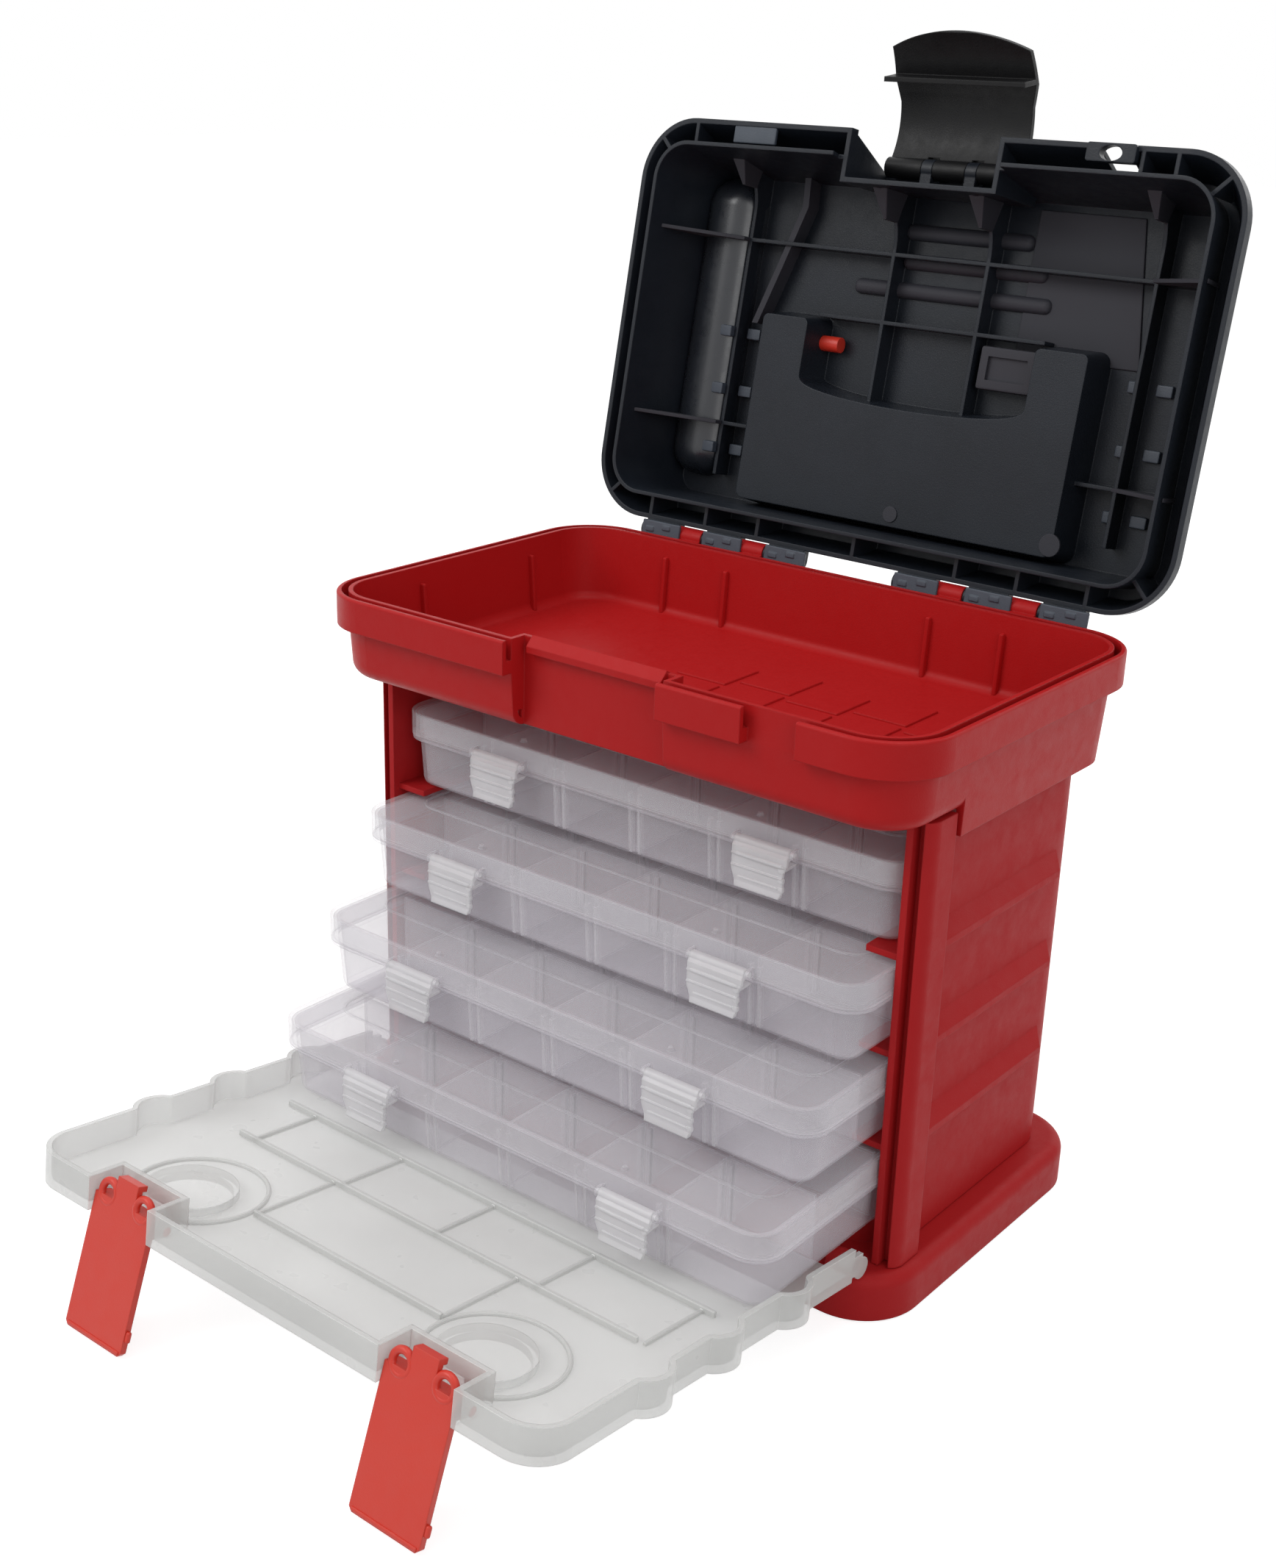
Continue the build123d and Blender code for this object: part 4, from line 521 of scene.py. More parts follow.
def clear_plastic(name, s):
    """Milky plastic: thin seen squarely, denser at edges and at a glance; edges get painted
    light.
    """
    mat, tree, shader = new_material(name)
    place = coordinates(tree, (-1400, 0))
    normal, edges = edge_mask(tree, s.edge, (-1400, -500))
    cloud = noise(tree, (-1000, 100), CLOUDS, place)
    fine = noise(tree, (-1000, -100), FINE_HAZE, place)
    ripple = noise(tree, (-1000, -300), RIPPLES, place)
    # How much one surface hides: the third power of its slant to the view, then its edges
    facing = add_node(tree, "LayerWeight", (-1400, 300))
    plug(tree, FACING_BLEND, facing.inputs["Blend"])
    slant = facing.outputs["Facing"]
    steep = calculate(tree, "MULTIPLY", slant, slant, (-1200, 300))
    steep = calculate(tree, "MULTIPLY", steep, slant, (-1000, 300))
    cover = remap(tree, steep, (0.0, 1.0), (s.face_cover, s.glance_cover), (-800, 300))
    uneven = remap(tree, cloud, (0.3, 0.7), (0.92, 1.08), (-800, 100))
    cover = calculate(tree, "MULTIPLY", cover, uneven, (-600, 300))
    edge_cover = calculate(tree, "MULTIPLY", edges, s.edge_cover, (-600, 500))
    alpha = calculate(tree, "MAXIMUM", cover, edge_cover, (-400, 300))
    plug(tree, alpha, shader.inputs["Alpha"])
    deeper = [channel * CLOUD_SHADE for channel in s.colour[:3]] + [1.0]
    clouded = remap(tree, cloud, (0.35, 0.65), (0.0, 1.0), (-700, -50))
    body = mix_colour(tree, clouded, s.colour, deeper, (-450, 50))
    # Painted light and shade: sharp edges take the painted edge colour
    colour = mix_colour(tree, edges, body, s.painted_edge_colour, (-200, 150))
    plug(tree, colour, shader.inputs["Base Color"])
    rough = remap(tree, fine, (0.3, 0.7), (s.roughness - 0.03, s.roughness + 0.05), (-450, -150))
    plug(tree, rough, shader.inputs["Roughness"])
    plug(tree, s.gloss, shader.inputs["Specular IOR Level"])
    add_bump(tree, shader, ripple, normal, RIPPLE_STRENGTH, RIPPLE_DEPTH)
    return mat


def pin_metal(name):
    """Drawn steel wire with fine lines."""
    mat, tree, shader = new_material(name)
    lines = noise(tree, (-600, 0), WIRE_LINES, coordinates(tree, (-900, 0)))
    dark, bright = (0.5, 0.5, 0.52, 1.0), (0.68, 0.68, 0.7, 1.0)
    plug(tree, mix_colour(tree, lines, dark, bright, (-300, 100)), shader.inputs["Base Color"])
    rough = remap(tree, lines, (0.3, 0.7), (0.25, 0.42), (-300, -100))
    plug(tree, rough, shader.inputs["Roughness"])
    plug(tree, 1.0, shader.inputs["Metallic"])
    return mat


def dress(names, mat):
    """Give one material to every slot of these CAD nodes."""
    for name in names:
        piece = frame["nodes"][name]
        if not piece.material_slots:
            piece.data.materials.append(mat)
        for place in piece.material_slots:
            place.material = mat


# --- Modelling ---

class Plane:
    """A plane turned about X at an anchor, with places across, along and out of it."""

    def __init__(self, anchor, turn):
        self.anchor = Vector(anchor)
        self.turn = turn

    def move(self, across, along, out):
        """A move across, along and out of the plane."""
        return Matrix.Rotation(self.turn, 3, "X") @ Vector((across, along, out))

    def point(self, across, along, out):
        """The point at a place across, along and out of the plane."""
        return self.anchor + self.move(across, along, out)

    def find(self, at):
        """How far across, along and out of the plane a point lies."""
        return Matrix.Rotation(-self.turn, 3, "X") @ (at - self.anchor)


def joint_place(name):
    """Where a joint's line passes, at rest."""
    return next(joint["pos_m"] for joint in frame["joints"] if joint["name"] == name)


def clear_selection():
    """Leave edit mode and select nothing."""
    if bpy.context.object and bpy.context.object.mode != "OBJECT":
        bpy.ops.object.mode_set(mode="OBJECT")
    bpy.ops.object.select_all(action="DESELECT")


def pick(*pieces):
    """Select these pieces alone, the first one active."""
    clear_selection()
    for piece in pieces:
        piece.select_set(True)
    bpy.context.view_layer.objects.active = pieces[0]


def edit(piece, kind, test):
    """Open a piece in edit mode, with the corners, edges or faces whose middle passes a test."""
    pick(piece)
    bpy.ops.object.mode_set(mode="EDIT")
    bpy.ops.mesh.select_mode(type=kind)
    bpy.ops.mesh.select_all(action="DESELECT")
    bpy.ops.object.mode_set(mode="OBJECT")
    mesh = piece.data
    if kind == "VERT":
        for corner in mesh.vertices:
            corner.select = test(corner.co)
    elif kind == "EDGE":
        for edge in mesh.edges:
            first, second = (mesh.vertices[index].co for index in edge.vertices)
            edge.select = test((first + second) / 2)
    else:
        for face in mesh.polygons:
            face.select = test(face.center)
    bpy.ops.object.mode_set(mode="EDIT")


def shift_part(piece, test, move):
    """Move the corners of a piece that pass a test."""
    edit(piece, "VERT", test)
    bpy.ops.transform.translate(value=move)
    bpy.ops.object.mode_set(mode="OBJECT")


def lean_out(piece, height, move):
    """Lean a piece: the corners above a height move, and those below it move the other way."""
    shift_part(piece, lambda at: at.z > height, move)
    shift_part(piece, lambda at: at.z < height, -move)


def round_edges(piece, width, segments, test):
    """Bevel the edges of a piece whose middle passes a test."""
    edit(piece, "EDGE", test)
    bpy.ops.mesh.bevel(offset=width, segments=segments, affect="EDGES", clamp_overlap=True)
    bpy.ops.object.mode_set(mode="OBJECT")


def extrude(move):
    """Draw the selected faces out by a move, and leave edit mode."""
    bpy.ops.mesh.extrude_region_move(TRANSFORM_OT_translate={"value": move})
    bpy.ops.object.mode_set(mode="OBJECT")


def block(centre, size, turn=0.0, rounding=ROUNDING, segments=2, flat_back=False):
    """A block with rounded edges, turned about X; a flat back keeps its lower edges sharp."""
    clear_selection()
    bpy.ops.mesh.primitive_cube_add(size=1.0)
    piece = bpy.context.object
    piece.scale = size
    bpy.ops.object.transform_apply(location=False, rotation=False, scale=True)
    # The middles of the lower edges lie half the height down
    limit = -size[2] * 0.49 if flat_back else -size[2]
    round_edges(piece, rounding, segments, lambda middle: middle.z > limit)
    piece.rotation_euler = (turn, 0.0, 0.0)
    piece.location = centre
    bpy.ops.object.transform_apply(location=True, rotation=True, scale=True)
    return piece


def ring(centre, turn, radius, thickness, steps):
    """A ring turned about X, with steps round it and round its section."""
    clear_selection()
    bpy.ops.mesh.primitive_torus_add(
        location=centre, rotation=(turn, 0.0, 0.0), major_radius=radius, minor_radius=thickness,
        major_segments=steps[0], minor_segments=steps[1],
    )
    made = bpy.context.object
    bpy.ops.object.transform_apply(location=True, rotation=True, scale=True)
    return made


def row(piece, count, step):
    """Repeat a piece along a line within its own mesh."""
    pick(piece)
    array = piece.modifiers.new("row", "ARRAY")
    array.count = count
    array.use_relative_offset = False
    array.use_constant_offset = True
    array.constant_offset_displace = step
    bpy.ops.object.modifier_apply(modifier=array.name)
    return piece


def finish_piece(name, shapes, material, body):
    """Make several shapes one smooth piece, give it its plastic and put it on its body."""
    pick(*shapes)
    if len(shapes) > 1:
        bpy.ops.object.join()
    piece = bpy.context.object
    piece.name = name
    piece.data.name = name
    pick(piece)
    bpy.ops.object.shade_smooth_by_angle(angle=SMOOTH_ANGLE)
    even = piece.modifiers.new("even_normals", "WEIGHTED_NORMAL")
    even.keep_sharp = True
    bpy.ops.object.modifier_apply(modifier=even.name)
    piece.data.materials.clear()
    piece.data.materials.append(bpy.data.materials[material])
    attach(piece, body)


# --- Case and tray ---

class TOOLBOX_OT_case(bpy.types.Operator):
    """Dress the base, the rack walls and the outside of the tray"""

    bl_idname = "toolbox.case"
    bl_label = "Case"

    def execute(self, context):
        s = settings()
        walls = ("base", "side_wall_left", "side_wall_right", "back_wall")
        dress(walls, moulded_plastic("red_plastic_grained", s.red))
        dress(("top_tray",), moulded_plastic("red_plastic_tray", s.tray_red))
        return {"FINISHED"}


class TOOLBOX_OT_tray_details(bpy.types.Operator):
    """Add the ribs on the walls of the tray and the raised squares on its floor"""

    bl_idname = "toolbox.tray_details"
    bl_label = "Tray ribs and floor"

    def execute(self, context):
        s = settings().sizes
        low, high = s.tray_floor, s.tray_rib_top
        middle, tall = (low + high) / 2, high - low
        lean = tall * math.tan(s.draft) / 2
        wide, reach = s.tray_rib, 2 * s.tray_rib
        ribs = []

        def add_rib(across, along, size, way):
            """Add a rib that leans out a way, with the wall that it stands on."""
            rib = block((across, along, middle), size, rounding=wide * TRAY_RIB_ROUNDING)
            lean_out(rib, middle, Vector(way) * lean)
            ribs.append(rib)

        for across in TRAY_BACK_RIBS:
            add_rib(across, s.tray_half_depth - lean, (wide, reach, tall), (0.0, 1.0, 0.0))
        for side in SIDES:
            for along in TRAY_SIDE_RIBS:
                across = side * (s.tray_half_width - lean)
                add_rib(across, along, (reach, wide, tall), (side, 0.0, 0.0))
        finish_piece("tray_wall_ribs", ribs, "red_plastic_tray", "case")
        square = s.tray_square
        pitch = square * SQUARE_PITCH
        squares = []
        for column in range(SQUARE_COLUMNS):
            for line in range(SQUARE_LINES):
                across = pitch * (column + SQUARE_START[0])
                along = pitch * (line + SQUARE_START[1] + SQUARE_STAGGER * (column % 2))
                squares.append(
                    block((across, along, low), (square, square, SQUARE_HEIGHT), flat_back=True)
                )
        finish_piece("tray_floor_squares", squares, "red_plastic_tray", "case")
        return {"FINISHED"}


# --- Lid ---

def lid_plane():
    """The plane of the open lid's rim, at its hinge line; out of it is out of the lid."""
    low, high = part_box("lid_hinge_pins")
    hinge = (0.0, (low[1] + high[1]) / 2, (low[2] + high[2]) / 2)
    return Plane(hinge, math.radians(90.0) - settings().sizes.lid_lean)


def lid_form(lid, across, along, size, top, **shape):
    """A form on the lid's ceiling that stands up to the depth of its top, its back sunk in."""
    back = settings().sizes.lid_ceiling + SUNK
    centre = lid.point(across, along, -(top + back) / 2)
    return block(centre, (*size, back - top), lid.turn, flat_back=True, **shape)


def finish_lid_piece(name, shapes, material="black_plastic"):
    """Make several shapes one piece of the lid."""
    finish_piece(name, shapes, material, "lid")


class TOOLBOX_OT_lid(bpy.types.Operator):
    """Dress the lid, its latch and its carry handle"""

    bl_idname = "toolbox.lid"
    bl_label = "Lid"

    def execute(self, context):
        s = settings()
        dress(("lid_shell",), moulded_plastic("black_plastic", s.black))
        moulded_plastic("grey_plastic_plates", s.plate_grey)
        moulded_plastic("black_plastic_polished", s.polished_black)
        dress(("lid_latch",), moulded_plastic("black_plastic_latch", s.latch_black))
        dress(("carry_handle",), moulded_plastic("red_plastic_handle", s.latch_red))
        return {"FINISHED"}


class TOOLBOX_OT_lid_bulge(bpy.types.Operator):
    """Add the long round bulge at the left end of the lid"""

    bl_idname = "toolbox.lid_bulge"
    bl_label = "Lid bulge"

    def execute(self, context):
        bulge = lid_form(lid_plane(), **BULGE)
        finish_lid_piece("lid_side_bulge", [bulge], "black_plastic_polished")
        return {"FINISHED"}


def rib_end(lid, side, along):
    """The outer end of a cross rib, its outer corners drawn out to the curve of the lid."""
    centre = lid.point(side * RIB_END_ACROSS, along, -RIB_END_DEPTH)
    size = (RIB_END_LENGTH, settings().sizes.lid_rib, RIB_END_HEIGHT)
    end = block(centre, size, lid.turn, rounding=THIN_ROUNDING)

    def outer(at):
        return side * lid.find(at).x > RIB_END_ACROSS

    def upper(at):
        return lid.find(at).z > -RIB_END_DEPTH

    outward, out = RIB_END_UPPER
    shift_part(end, lambda at: outer(at) and upper(at), lid.move(side * outward, 0.0, out))
    outward, out = RIB_END_LOWER
    shift_part(end, lambda at: outer(at) and not upper(at), lid.move(side * outward, 0.0, out))
    return end


def gusset(lid, across, along):
    """A gusset that narrows and drops away from the front edge of the lid."""
    centre = lid.point(across, along, -GUSSET_DEPTH)
    wedge = block(centre, GUSSET_SIZE, lid.turn, rounding=STOUT_ROUNDING)

    def inner(at):
        return lid.find(at).y < along

    narrower = lid.move(GUSSET_TAPER, 0.0, 0.0)
    shift_part(wedge, lambda at: inner(at) and lid.find(at).x > across, -narrower)
    shift_part(wedge, lambda at: inner(at) and lid.find(at).x < across, narrower)
    drop = lid.move(0.0, 0.0, -GUSSET_DROP)
    shift_part(wedge, lambda at: inner(at) and lid.find(at).z > -GUSSET_DEPTH, drop)
    return wedge


class TOOLBOX_OT_lid_ribs(bpy.types.Operator):
    """Add the outer ends of the lid's cross ribs and the gussets behind its front edge"""

    bl_idname = "toolbox.lid_ribs"
    bl_label = "Lid rib ends and gussets"

    def execute(self, context):
        lid = lid_plane()
        ends = [rib_end(lid, side, along) for side in SIDES for along in RIB_END_ALONG]
        finish_lid_piece("lid_cross_rib_ends", ends)
        gussets = [gusset(lid, across, along) for across, along in GUSSETS]
        finish_lid_piece("lid_rib_gussets", gussets)
        return {"FINISHED"}


class TOOLBOX_OT_lid_ridges(bpy.types.Operator):
    """Add the three round ridges on the lid's ceiling"""

    bl_idname = "toolbox.lid_ridges"
    bl_label = "Lid round ridges"

    def execute(self, context):
        lid, top = lid_plane(), settings().sizes.lid_ceiling - ROUND_RIDGE_HEIGHT
        ridges = [
            lid_form(lid, across, along, (length, ROUND_RIDGE_WIDTH), top, **ROUND_RIDGE_EDGES)
            for across, along, length in ROUND_RIDGES
        ]
        finish_lid_piece("lid_round_ridges", ridges)
        return {"FINISHED"}


class TOOLBOX_OT_lid_blocks(bpy.types.Operator):
    """Add the small blocks at both ends of the lid and the flat panel on its ceiling"""

    bl_idname = "toolbox.lid_blocks"
    bl_label = "Lid blocks and panel"

    def execute(self, context):
        lid = lid_plane()
        blocks = [
            lid_form(lid, across, along, SMALL_BLOCK_SIZE, top, rounding=STOUT_ROUNDING)
            for along in SMALL_BLOCK_LINES for across, top in SMALL_BLOCKS
        ]
        finish_lid_piece("lid_small_blocks", blocks, "grey_plastic_plates")
        top = settings().sizes.lid_ceiling - PANEL_HEIGHT
        panel = lid_form(
            lid, PANEL_ACROSS, PANEL_ALONG, PANEL_SIZE, top, rounding=PANEL_ROUNDING
        )

        def rear_right(at):
            across, along, _ = lid.find(at)
            return along < PANEL_ALONG and across > PANEL_ACROSS

        shift_part(panel, rear_right, lid.move(PANEL_FLARE, 0.0, 0.0))
        finish_lid_piece("lid_flat_panel", [panel])
        return {"FINISHED"}


class TOOLBOX_OT_lid_housing(bpy.types.Operator):
    """Add the housing over the right end of the carry handle, with its sunk face"""

    bl_idname = "toolbox.lid_housing"
    bl_label = "Lid handle housing"

    def execute(self, context):
        lid = lid_plane()
        housing = lid_form(lid, **HOUSING)
        edit(housing, "FACE", lambda at: -lid.find(at).z < HOUSING["top"] + NEAR)
        bpy.ops.mesh.inset(thickness=HOUSING_WALL)
        extrude(lid.move(0.0, 0.0, -HOUSING_HOLLOW))
        finish_lid_piece("lid_handle_housing", [housing])
        return {"FINISHED"}


class TOOLBOX_OT_lid_slant(bpy.types.Operator):
    """Add the ridge that slants from the front edge of the lid to the handle well"""

    bl_idname = "toolbox.lid_slant"
    bl_label = "Lid slanting ridge"

    def execute(self, context):
        lid = lid_plane()
        ridge = block(lid.point(*SLANT_START), SLANT_SIZE, lid.turn, **SLANT_EDGES)
        for across, along in SLANT_RUNS:
            lowest = min(lid.find(corner.co).y for corner in ridge.data.vertices)
            edit(ridge, "FACE", lambda at: lid.find(at).y < lowest + NEAR)
            extrude(lid.move(across, along, 0.0))
        finish_lid_piece("lid_slanting_ridge", [ridge])
        return {"FINISHED"}


class TOOLBOX_OT_lid_marks(bpy.types.Operator):
    """Add the two round marks on the face of the handle well"""

    bl_idname = "toolbox.lid_marks"
    bl_label = "Lid round marks"

    def execute(self, context):
        lid, depth = lid_plane(), settings().sizes.well_depth
        marks = []
        for across, radius in MARKS:
            clear_selection()
            bpy.ops.mesh.primitive_cylinder_add(
                vertices=MARK_STEPS, radius=radius, depth=MARK_HEIGHT,
                location=lid.point(across, MARK_ALONG, -depth), rotation=(lid.turn, 0.0, 0.0),
            )
            mark = bpy.context.object
            bpy.ops.object.transform_apply(location=True, rotation=True, scale=True)
            round_edges(mark, THIN_ROUNDING, 2, lambda at: True)
            marks.append(mark)
        finish_lid_piece("lid_round_marks", marks)
        return {"FINISHED"}


class TOOLBOX_OT_lid_plates(bpy.types.Operator):
    """Add the hinge plates with their notches, and the tab at the front edge of the lid"""

    bl_idname = "toolbox.lid_plates"
    bl_label = "Lid hinge plates"

    def execute(self, context):
        lid = lid_plane()
        plates = []
        for across in PLATES:
            plates.append(block(lid.point(across, PLATE_ALONG, PLATE_OUT), PLATE_SIZE, lid.turn))
            for aside, up in NOTCHES:
                centre = lid.point(across + aside, PLATE_ALONG + up, NOTCH_OUT)
                plates.append(block(centre, NOTCH_SIZE, lid.turn, rounding=THIN_ROUNDING))
        plates.append(block(lid.point(*TAB_PLACE), TAB_SIZE, lid.turn))
        finish_lid_piece("lid_hinge_plates", plates, "grey_plastic_plates")
        return {"FINISHED"}


class TOOLBOX_OT_pins(bpy.types.Operator):
    """Dress the steel hinge pins"""

    bl_idname = "toolbox.pins"
    bl_label = "Pins"

    def execute(self, context):
        dress(("lid_hinge_pins", "lid_latch_pin"), pin_metal("steel_wire"))
        return {"FINISHED"}


# --- Door ---

class TOOLBOX_OT_door(bpy.types.Operator):
    """Dress the clear door and its two red latches"""

    bl_idname = "toolbox.door"
    bl_label = "Door"

    def execute(self, context):
        s = settings()
        dress(("door_panel",), clear_plastic("clear_plastic_door", s.door_clear))
        latches = ("door_latch_left", "door_latch_right")
        dress(latches, moulded_plastic("red_plastic_latch", s.latch_red))
        return {"FINISHED"}


class TOOLBOX_OT_door_details(bpy.types.Operator):
    """Add the long and short ridges inside the clear door and the rims of its finger wells"""

    bl_idname = "toolbox.door_details"
    bl_label = "Door ridges"

    def execute(self, context):
        s = settings().sizes
        door = Plane(joint_place("front_door_hinge"), math.pi - s.door_tilt)
        ridges = []

        def add_tick(across, along, length):
            """Add a short ridge that runs away from the hinge."""
            centre = door.point(across, along, s.door_face - TICK_RISE)
            size = (TICK_WIDTH, length, TICK_HEIGHT)
            ridges.append(block(centre, size, door.turn, rounding=LOW_ROUNDING))

        for along, length in DOOR_RIDGES:
            centre = door.point(0.0, along, s.door_face - DOOR_RIDGE_RISE)
            size = (length, DOOR_RIDGE_WIDTH, DOOR_RIDGE_HEIGHT)
            ridges.append(block(centre, size, door.turn, rounding=STOUT_ROUNDING))
        for tick in DOOR_TICKS:
            add_tick(*tick)
        for side in SIDES:
            add_tick(side * WELL_TICK[0], *WELL_TICK[1:])
            centre = door.point(side * WELL_ACROSS, WELL_ALONG, s.door_face - TICK_RISE)
            ridges.append(ring(centre, door.turn, **WELL_RIM))
        finish_piece(
            "door_inner_ridges", ridges, "clear_plastic_door", "front_door"
        )
        return {"FINISHED"}


class TOOLBOX_OT_latch_details(bpy.types.Operator):
    """Add the two finger rings beside the tab of each door latch, its side nib and its lip"""

    bl_idname = "toolbox.latch_details"
    bl_label = "Door latch rings"

    def execute(self, context):
        s = settings().sizes
        middle = (s.flap_face + s.flap_front) / 2
        for latch in ("door_latch_left", "door_latch_right"):
            flap = Plane(joint_place(latch + "_hinge"), math.pi - s.door_tilt - s.flap_angle)
            parts = [
                ring(flap.point(side * LATCH_RING_ACROSS, LATCH_RING_ALONG, middle), flap.turn,
                     **LATCH_RING)
                for side in SIDES
            ]
            nib = flap.point(NIB_ACROSS, NIB_ALONG, middle)
            parts.append(block(nib, NIB_SIZE, flap.turn, **NIB_EDGES))
            lip = flap.point(0.0, LIP_ALONG, s.flap_front)
            parts.append(block(lip, LIP_SIZE, flap.turn, rounding=LOW_ROUNDING))
            finish_piece(latch + "_rings", parts, "red_plastic_latch", latch)
        return {"FINISHED"}


# --- Organizer boxes ---

class TOOLBOX_OT_boxes(bpy.types.Operator):
    """Dress the four organizer boxes"""

    bl_idname = "toolbox.boxes"
    bl_label = "Organizer boxes"

    def execute(self, context):
        s = settings()
        tub = clear_plastic("clear_plastic_tub", s.box_clear)
        lid = clear_plastic("clear_plastic_lid", s.lid_clear)
        walls = clear_plastic("clear_plastic_dividers", s.wall_clear)
        milky = clear_plastic("clear_plastic_latch", s.milky)
        for number in BOX_NUMBERS:
            box = "box_%d_" % number
            dress((box + "tub",), tub)
            dress((box + "dividers",), walls)
            dress((box + "lid",), lid)
            dress((box + "latch_left", box + "latch_right"), milky)
        return {"FINISHED"}


def add_slot_ribs(box, s):
    """Add the ribs on both sides of each slot, on a box's outer walls and its row walls."""
    low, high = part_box(box + "_tub")
    middle = (low[1] + high[1]) / 2
    centre = low[2] + s.box_floor + s.slot_rib_height / 2
    lean = math.tan(s.draft) * s.slot_rib_height / 2
    wall = (high[1] - low[1]) / 2 - s.box_wall_inset - lean
    first = s.box_column * (0.5 - BOX_COLUMNS / 2)
    size = (s.slot_rib, s.slot_rib_reach, s.slot_rib_height)
    ribs = []
    for side in SIDES:
        across = first + side * s.slot_gap
        # The ribs on the outer walls lean with them, and those on the row walls stand upright
        places = [(end * wall, end * lean) for end in SIDES]
        places += [
            (row_side * s.row_wall + face * s.slot_rib_reach / 2, 0.0)
            for row_side in SIDES for face in SIDES
        ]
        for along, reach in places:
            rib = block((across, middle + along, centre), size, rounding=LOW_ROUNDING)
            if reach:
                lean_out(rib, centre, Vector((0.0, reach, 0.0)))
            ribs.append(row(rib, BOX_COLUMNS, (s.box_column, 0.0, 0.0)))
    finish_piece(box + "_slot_ribs", ribs, "clear_plastic_dividers", box)


def add_grips(latch):
    """Add the ridges that give a finger hold on a box latch."""
    low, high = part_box(latch)
    middle, front, top = (low[0] + high[0]) / 2, low[1] + GRIP_FRONT, high[2]
    grips = [
        block((middle + across, front + back, top - drop), size, rounding=rounding)
        for across, back, drop, size, rounding in GRIPS
    ]
    finish_piece(latch + "_grips", grips, "clear_plastic_latch", latch)


class TOOLBOX_OT_box_details(bpy.types.Operator):
    """Add the slot ribs in the organizer boxes and the grip ridges on their latches"""

    bl_idname = "toolbox.box_details"
    bl_label = "Box ribs and latch ridges"

    def execute(self, context):
        for number in BOX_NUMBERS:
            box = "box_%d" % number
            add_slot_ribs(box, settings().sizes)
            for side in ("left", "right"):
                add_grips("%s_latch_%s" % (box, side))
        return {"FINISHED"}


# --- Stage ---

def seen_rays(tree):
    """1 for rays that show the backdrop to the camera, in gloss or through glass, else 0."""
    rays = add_node(tree, "LightPath", (-600, -300)).outputs
    glossy = calculate(
        tree, "MAXIMUM", rays["Is Camera Ray"], rays["Is Glossy Ray"], (-400, -300)
    )
    return calculate(tree, "MAXIMUM", glossy, rays["Is Transmission Ray"], (-200, -300))


def lay_floor(scene, s):
    """A wide, pale paper floor just under the box."""
    mesh = bpy.data.meshes.new("floor")
    reach = FLOOR_REACH
    corners = ((-reach, -reach), (reach, -reach), (reach, reach), (-reach, reach))
    mesh.from_pydata([(x, y, -FLOOR_DROP) for x, y in corners], [], [(0, 1, 2, 3)])
    floor = bpy.data.objects.new("floor", mesh)
    scene.collection.objects.link(floor)
    mat, tree, shader = new_material("floor_paper")
    speckle = noise(tree, (-600, 0), PAPER_SPECKLES, coordinates(tree, (-900, 0)))
    grey = [channel * s.floor_share for channel in s.backdrop[:3]]
    darker = [channel * PAPER_SHADE for channel in grey]
    colour = mix_colour(tree, speckle, grey + [1.0], darker + [1.0], (-300, 0))
    glow = calculate(tree, "MULTIPLY", seen_rays(tree), s.floor_glow, (300, -300))
    for key, value in (
        ("Base Color", colour), ("Roughness", 0.9), ("Specular IOR Level", 0.0),
        ("Emission Color", s.backdrop), ("Emission Strength", glow),
    ):
        plug(tree, value, shader.inputs[key])
    mesh.materials.append(mat)


def light_surroundings(scene, s):
    """A dim white room that looks fully white where it is seen."""
    world = bpy.data.worlds.new("studio")
    scene.world = world
    world.use_nodes = True
    tree = world.node_tree
    tree.nodes.clear()
    out = add_node(tree, "OutputWorld", (600, 0))
    mix = add_node(tree, "MixShader", (300, 0))
    plug(tree, seen_rays(tree), mix.inputs[0])
    for slot, strength in ((1, s.sky_light), (2, 1.0)):
        light = add_node(tree, "Background", (0, -200 * slot))
        plug(tree, s.backdrop, light.inputs["Color"])
        plug(tree, strength, light.inputs["Strength"])
        plug(tree, light.outputs[0], mix.inputs[slot])
    plug(tree, mix.outputs[0], out.inputs["Surface"])


def hang_lamps(scene):
    """The soft boxes, each facing the middle of the tool box."""
    for name, place, width, height, watts in LAMPS:
        data = bpy.data.lights.new(name, "AREA")
        data.shape = "RECTANGLE"
        data.size = width
        data.size_y = height
        data.energy = watts
        lamp = bpy.data.objects.new(name, data)
        lamp.location = place
        aim = Vector(LAMP_TARGET) - Vector(place)
        lamp.rotation_euler = aim.to_track_quat("-Z", "Y").to_euler()
        scene.collection.objects.link(lamp)


def set_camera(scene, s):
    """The camera at the photograph's viewing angle."""
    azimuth, elevation, roll = s.azimuth, s.elevation, s.roll
    back = Vector((
        math.sin(azimuth) * math.cos(elevation),
        -math.cos(azimuth) * math.cos(elevation),
        math.sin(elevation),
    ))
    right = (-back).cross(Vector((0.0, 0.0, 1.0))).normalized()
    up = right.cross(-back)
    turned_right = right * math.cos(roll) + up * math.sin(roll)
    turned_up = up * math.cos(roll) - right * math.sin(roll)
    data = bpy.data.cameras.new("camera")
    data.sensor_width = SENSOR_WIDTH
    data.sensor_fit = "AUTO"
    data.lens = s.lens
    data.clip_start = CLIP_START
    data.clip_end = CLIP_END
    camera = bpy.data.objects.new("camera", data)
    scene.collection.objects.link(camera)
    turn = Matrix((turned_right, turned_up, back)).transposed().to_4x4()
    camera.matrix_world = Matrix.Translation(Vector(s.target) + back * s.distance) @ turn
    scene.camera = camera


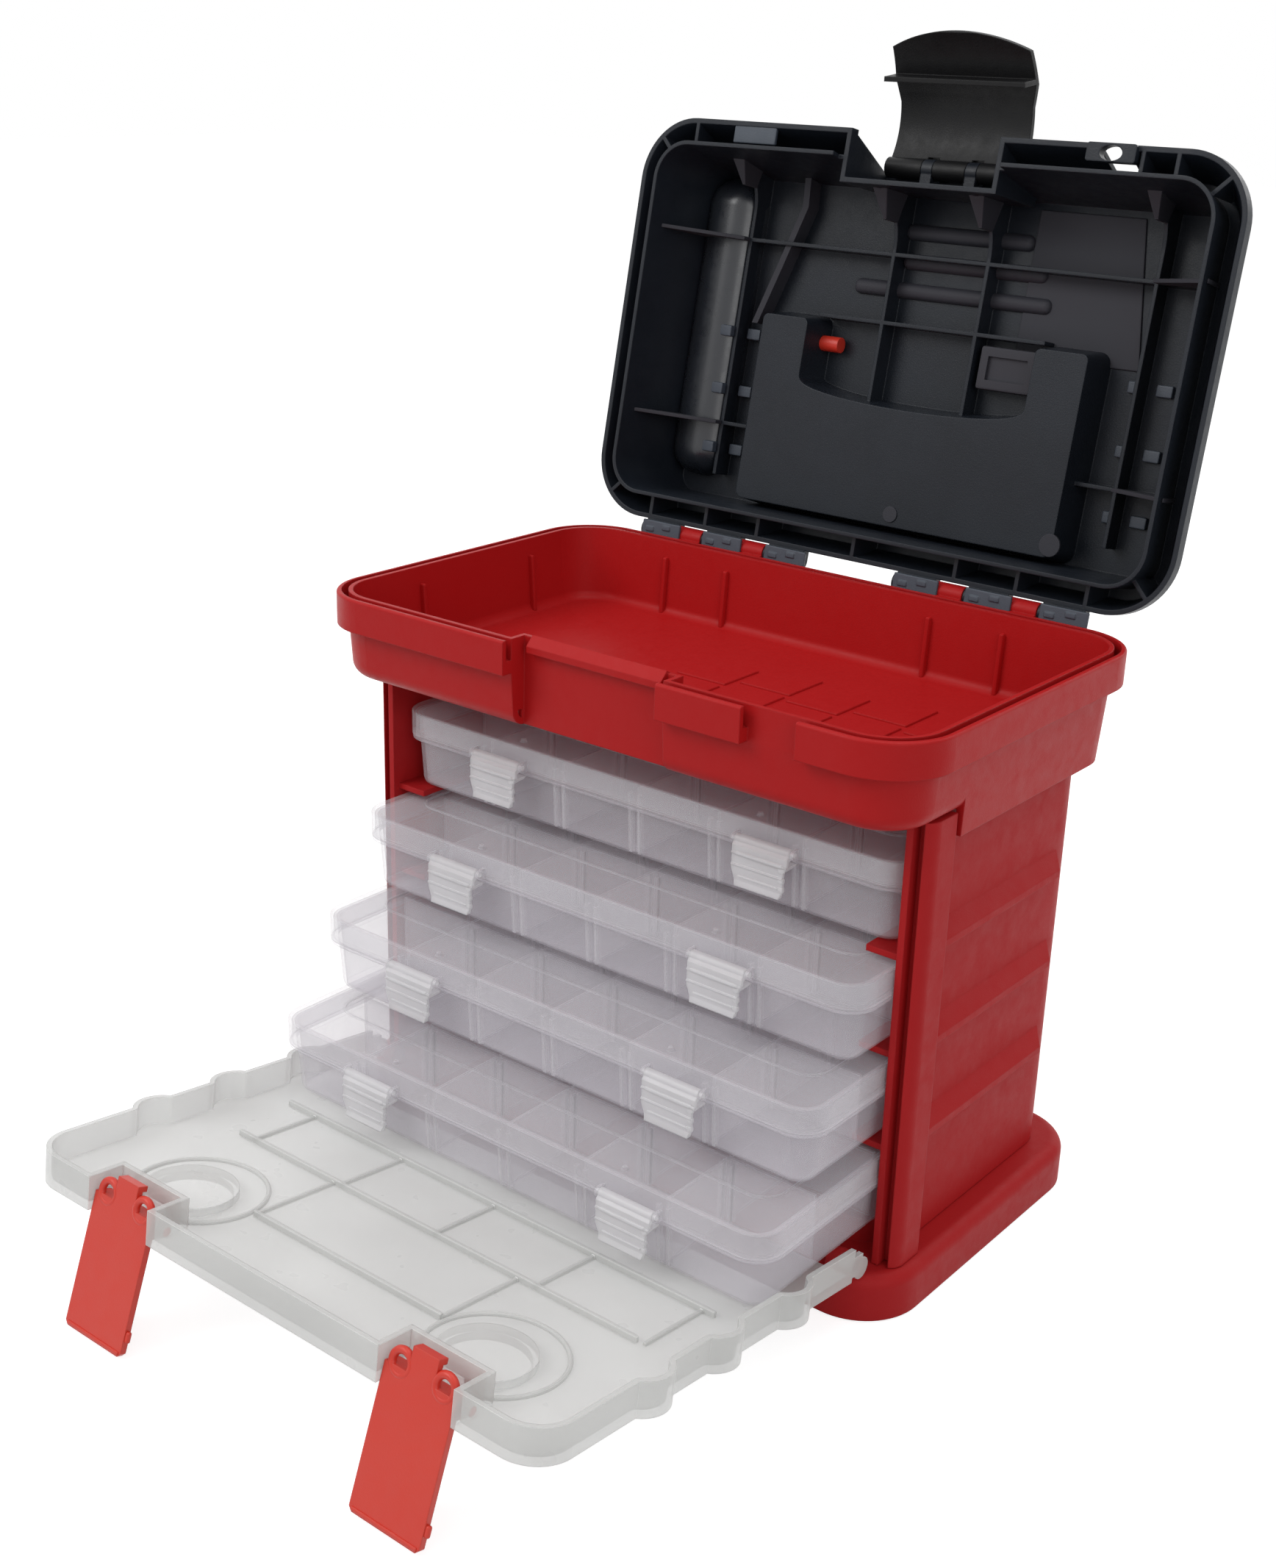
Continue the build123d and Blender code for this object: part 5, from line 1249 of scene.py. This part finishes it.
class TOOLBOX_OT_stage(bpy.types.Operator):
    """Set up the floor, the surroundings, the lights and the camera"""

    bl_idname = "toolbox.stage"
    bl_label = "Stage"

    def execute(self, context):
        s = settings().stage
        scene = context.scene
        lay_floor(scene, s)
        light_surroundings(scene, s)
        hang_lamps(scene)
        set_camera(scene, s)
        scene.view_settings.view_transform = "Standard"
        if hasattr(scene, "cycles"):
            scene.cycles.transparent_max_bounces = CLEAR_LAYERS
        return {"FINISHED"}


# --- Add-on ---

STEPS = (
    TOOLBOX_OT_case, TOOLBOX_OT_tray_details, TOOLBOX_OT_lid, TOOLBOX_OT_lid_bulge,
    TOOLBOX_OT_lid_ribs, TOOLBOX_OT_lid_ridges, TOOLBOX_OT_lid_blocks, TOOLBOX_OT_lid_housing,
    TOOLBOX_OT_lid_slant, TOOLBOX_OT_lid_marks, TOOLBOX_OT_lid_plates, TOOLBOX_OT_pins,
    TOOLBOX_OT_door, TOOLBOX_OT_door_details, TOOLBOX_OT_latch_details, TOOLBOX_OT_boxes,
    TOOLBOX_OT_box_details, TOOLBOX_OT_stage,
)


class TOOLBOX_PT_panel(bpy.types.Panel):
    """The sidebar panel with a button for each step"""

    bl_label = "Tool Box"
    bl_idname = "TOOLBOX_PT_panel"
    bl_space_type = "VIEW_3D"
    bl_region_type = "UI"
    bl_category = "Tool Box"

    def draw(self, context):
        for step in STEPS:
            self.layout.operator(step.bl_idname)


CLASSES = (
    MouldedSettings, ClearSettings, DetailSizes, StageSettings, ToolBoxSettings, *STEPS,
    TOOLBOX_PT_panel,
)


def register():
    """Register every class and put the settings on the scene."""
    for cls in CLASSES:
        bpy.utils.register_class(cls)
    bpy.types.Scene.tool_box = PointerProperty(type=ToolBoxSettings)


def unregister():
    """Take the settings and every class away again."""
    del bpy.types.Scene.tool_box
    for cls in reversed(CLASSES):
        bpy.utils.unregister_class(cls)


def main():
    """Register, choose the looks and run every step in order."""
    register()
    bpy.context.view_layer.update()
    choose_looks()
    for step in STEPS:
        group, name = step.bl_idname.split(".")
        if getattr(getattr(bpy.ops, group), name)() != {"FINISHED"}:
            raise RuntimeError("step failed: " + step.bl_idname)


if __name__ == "__main__":
    main()
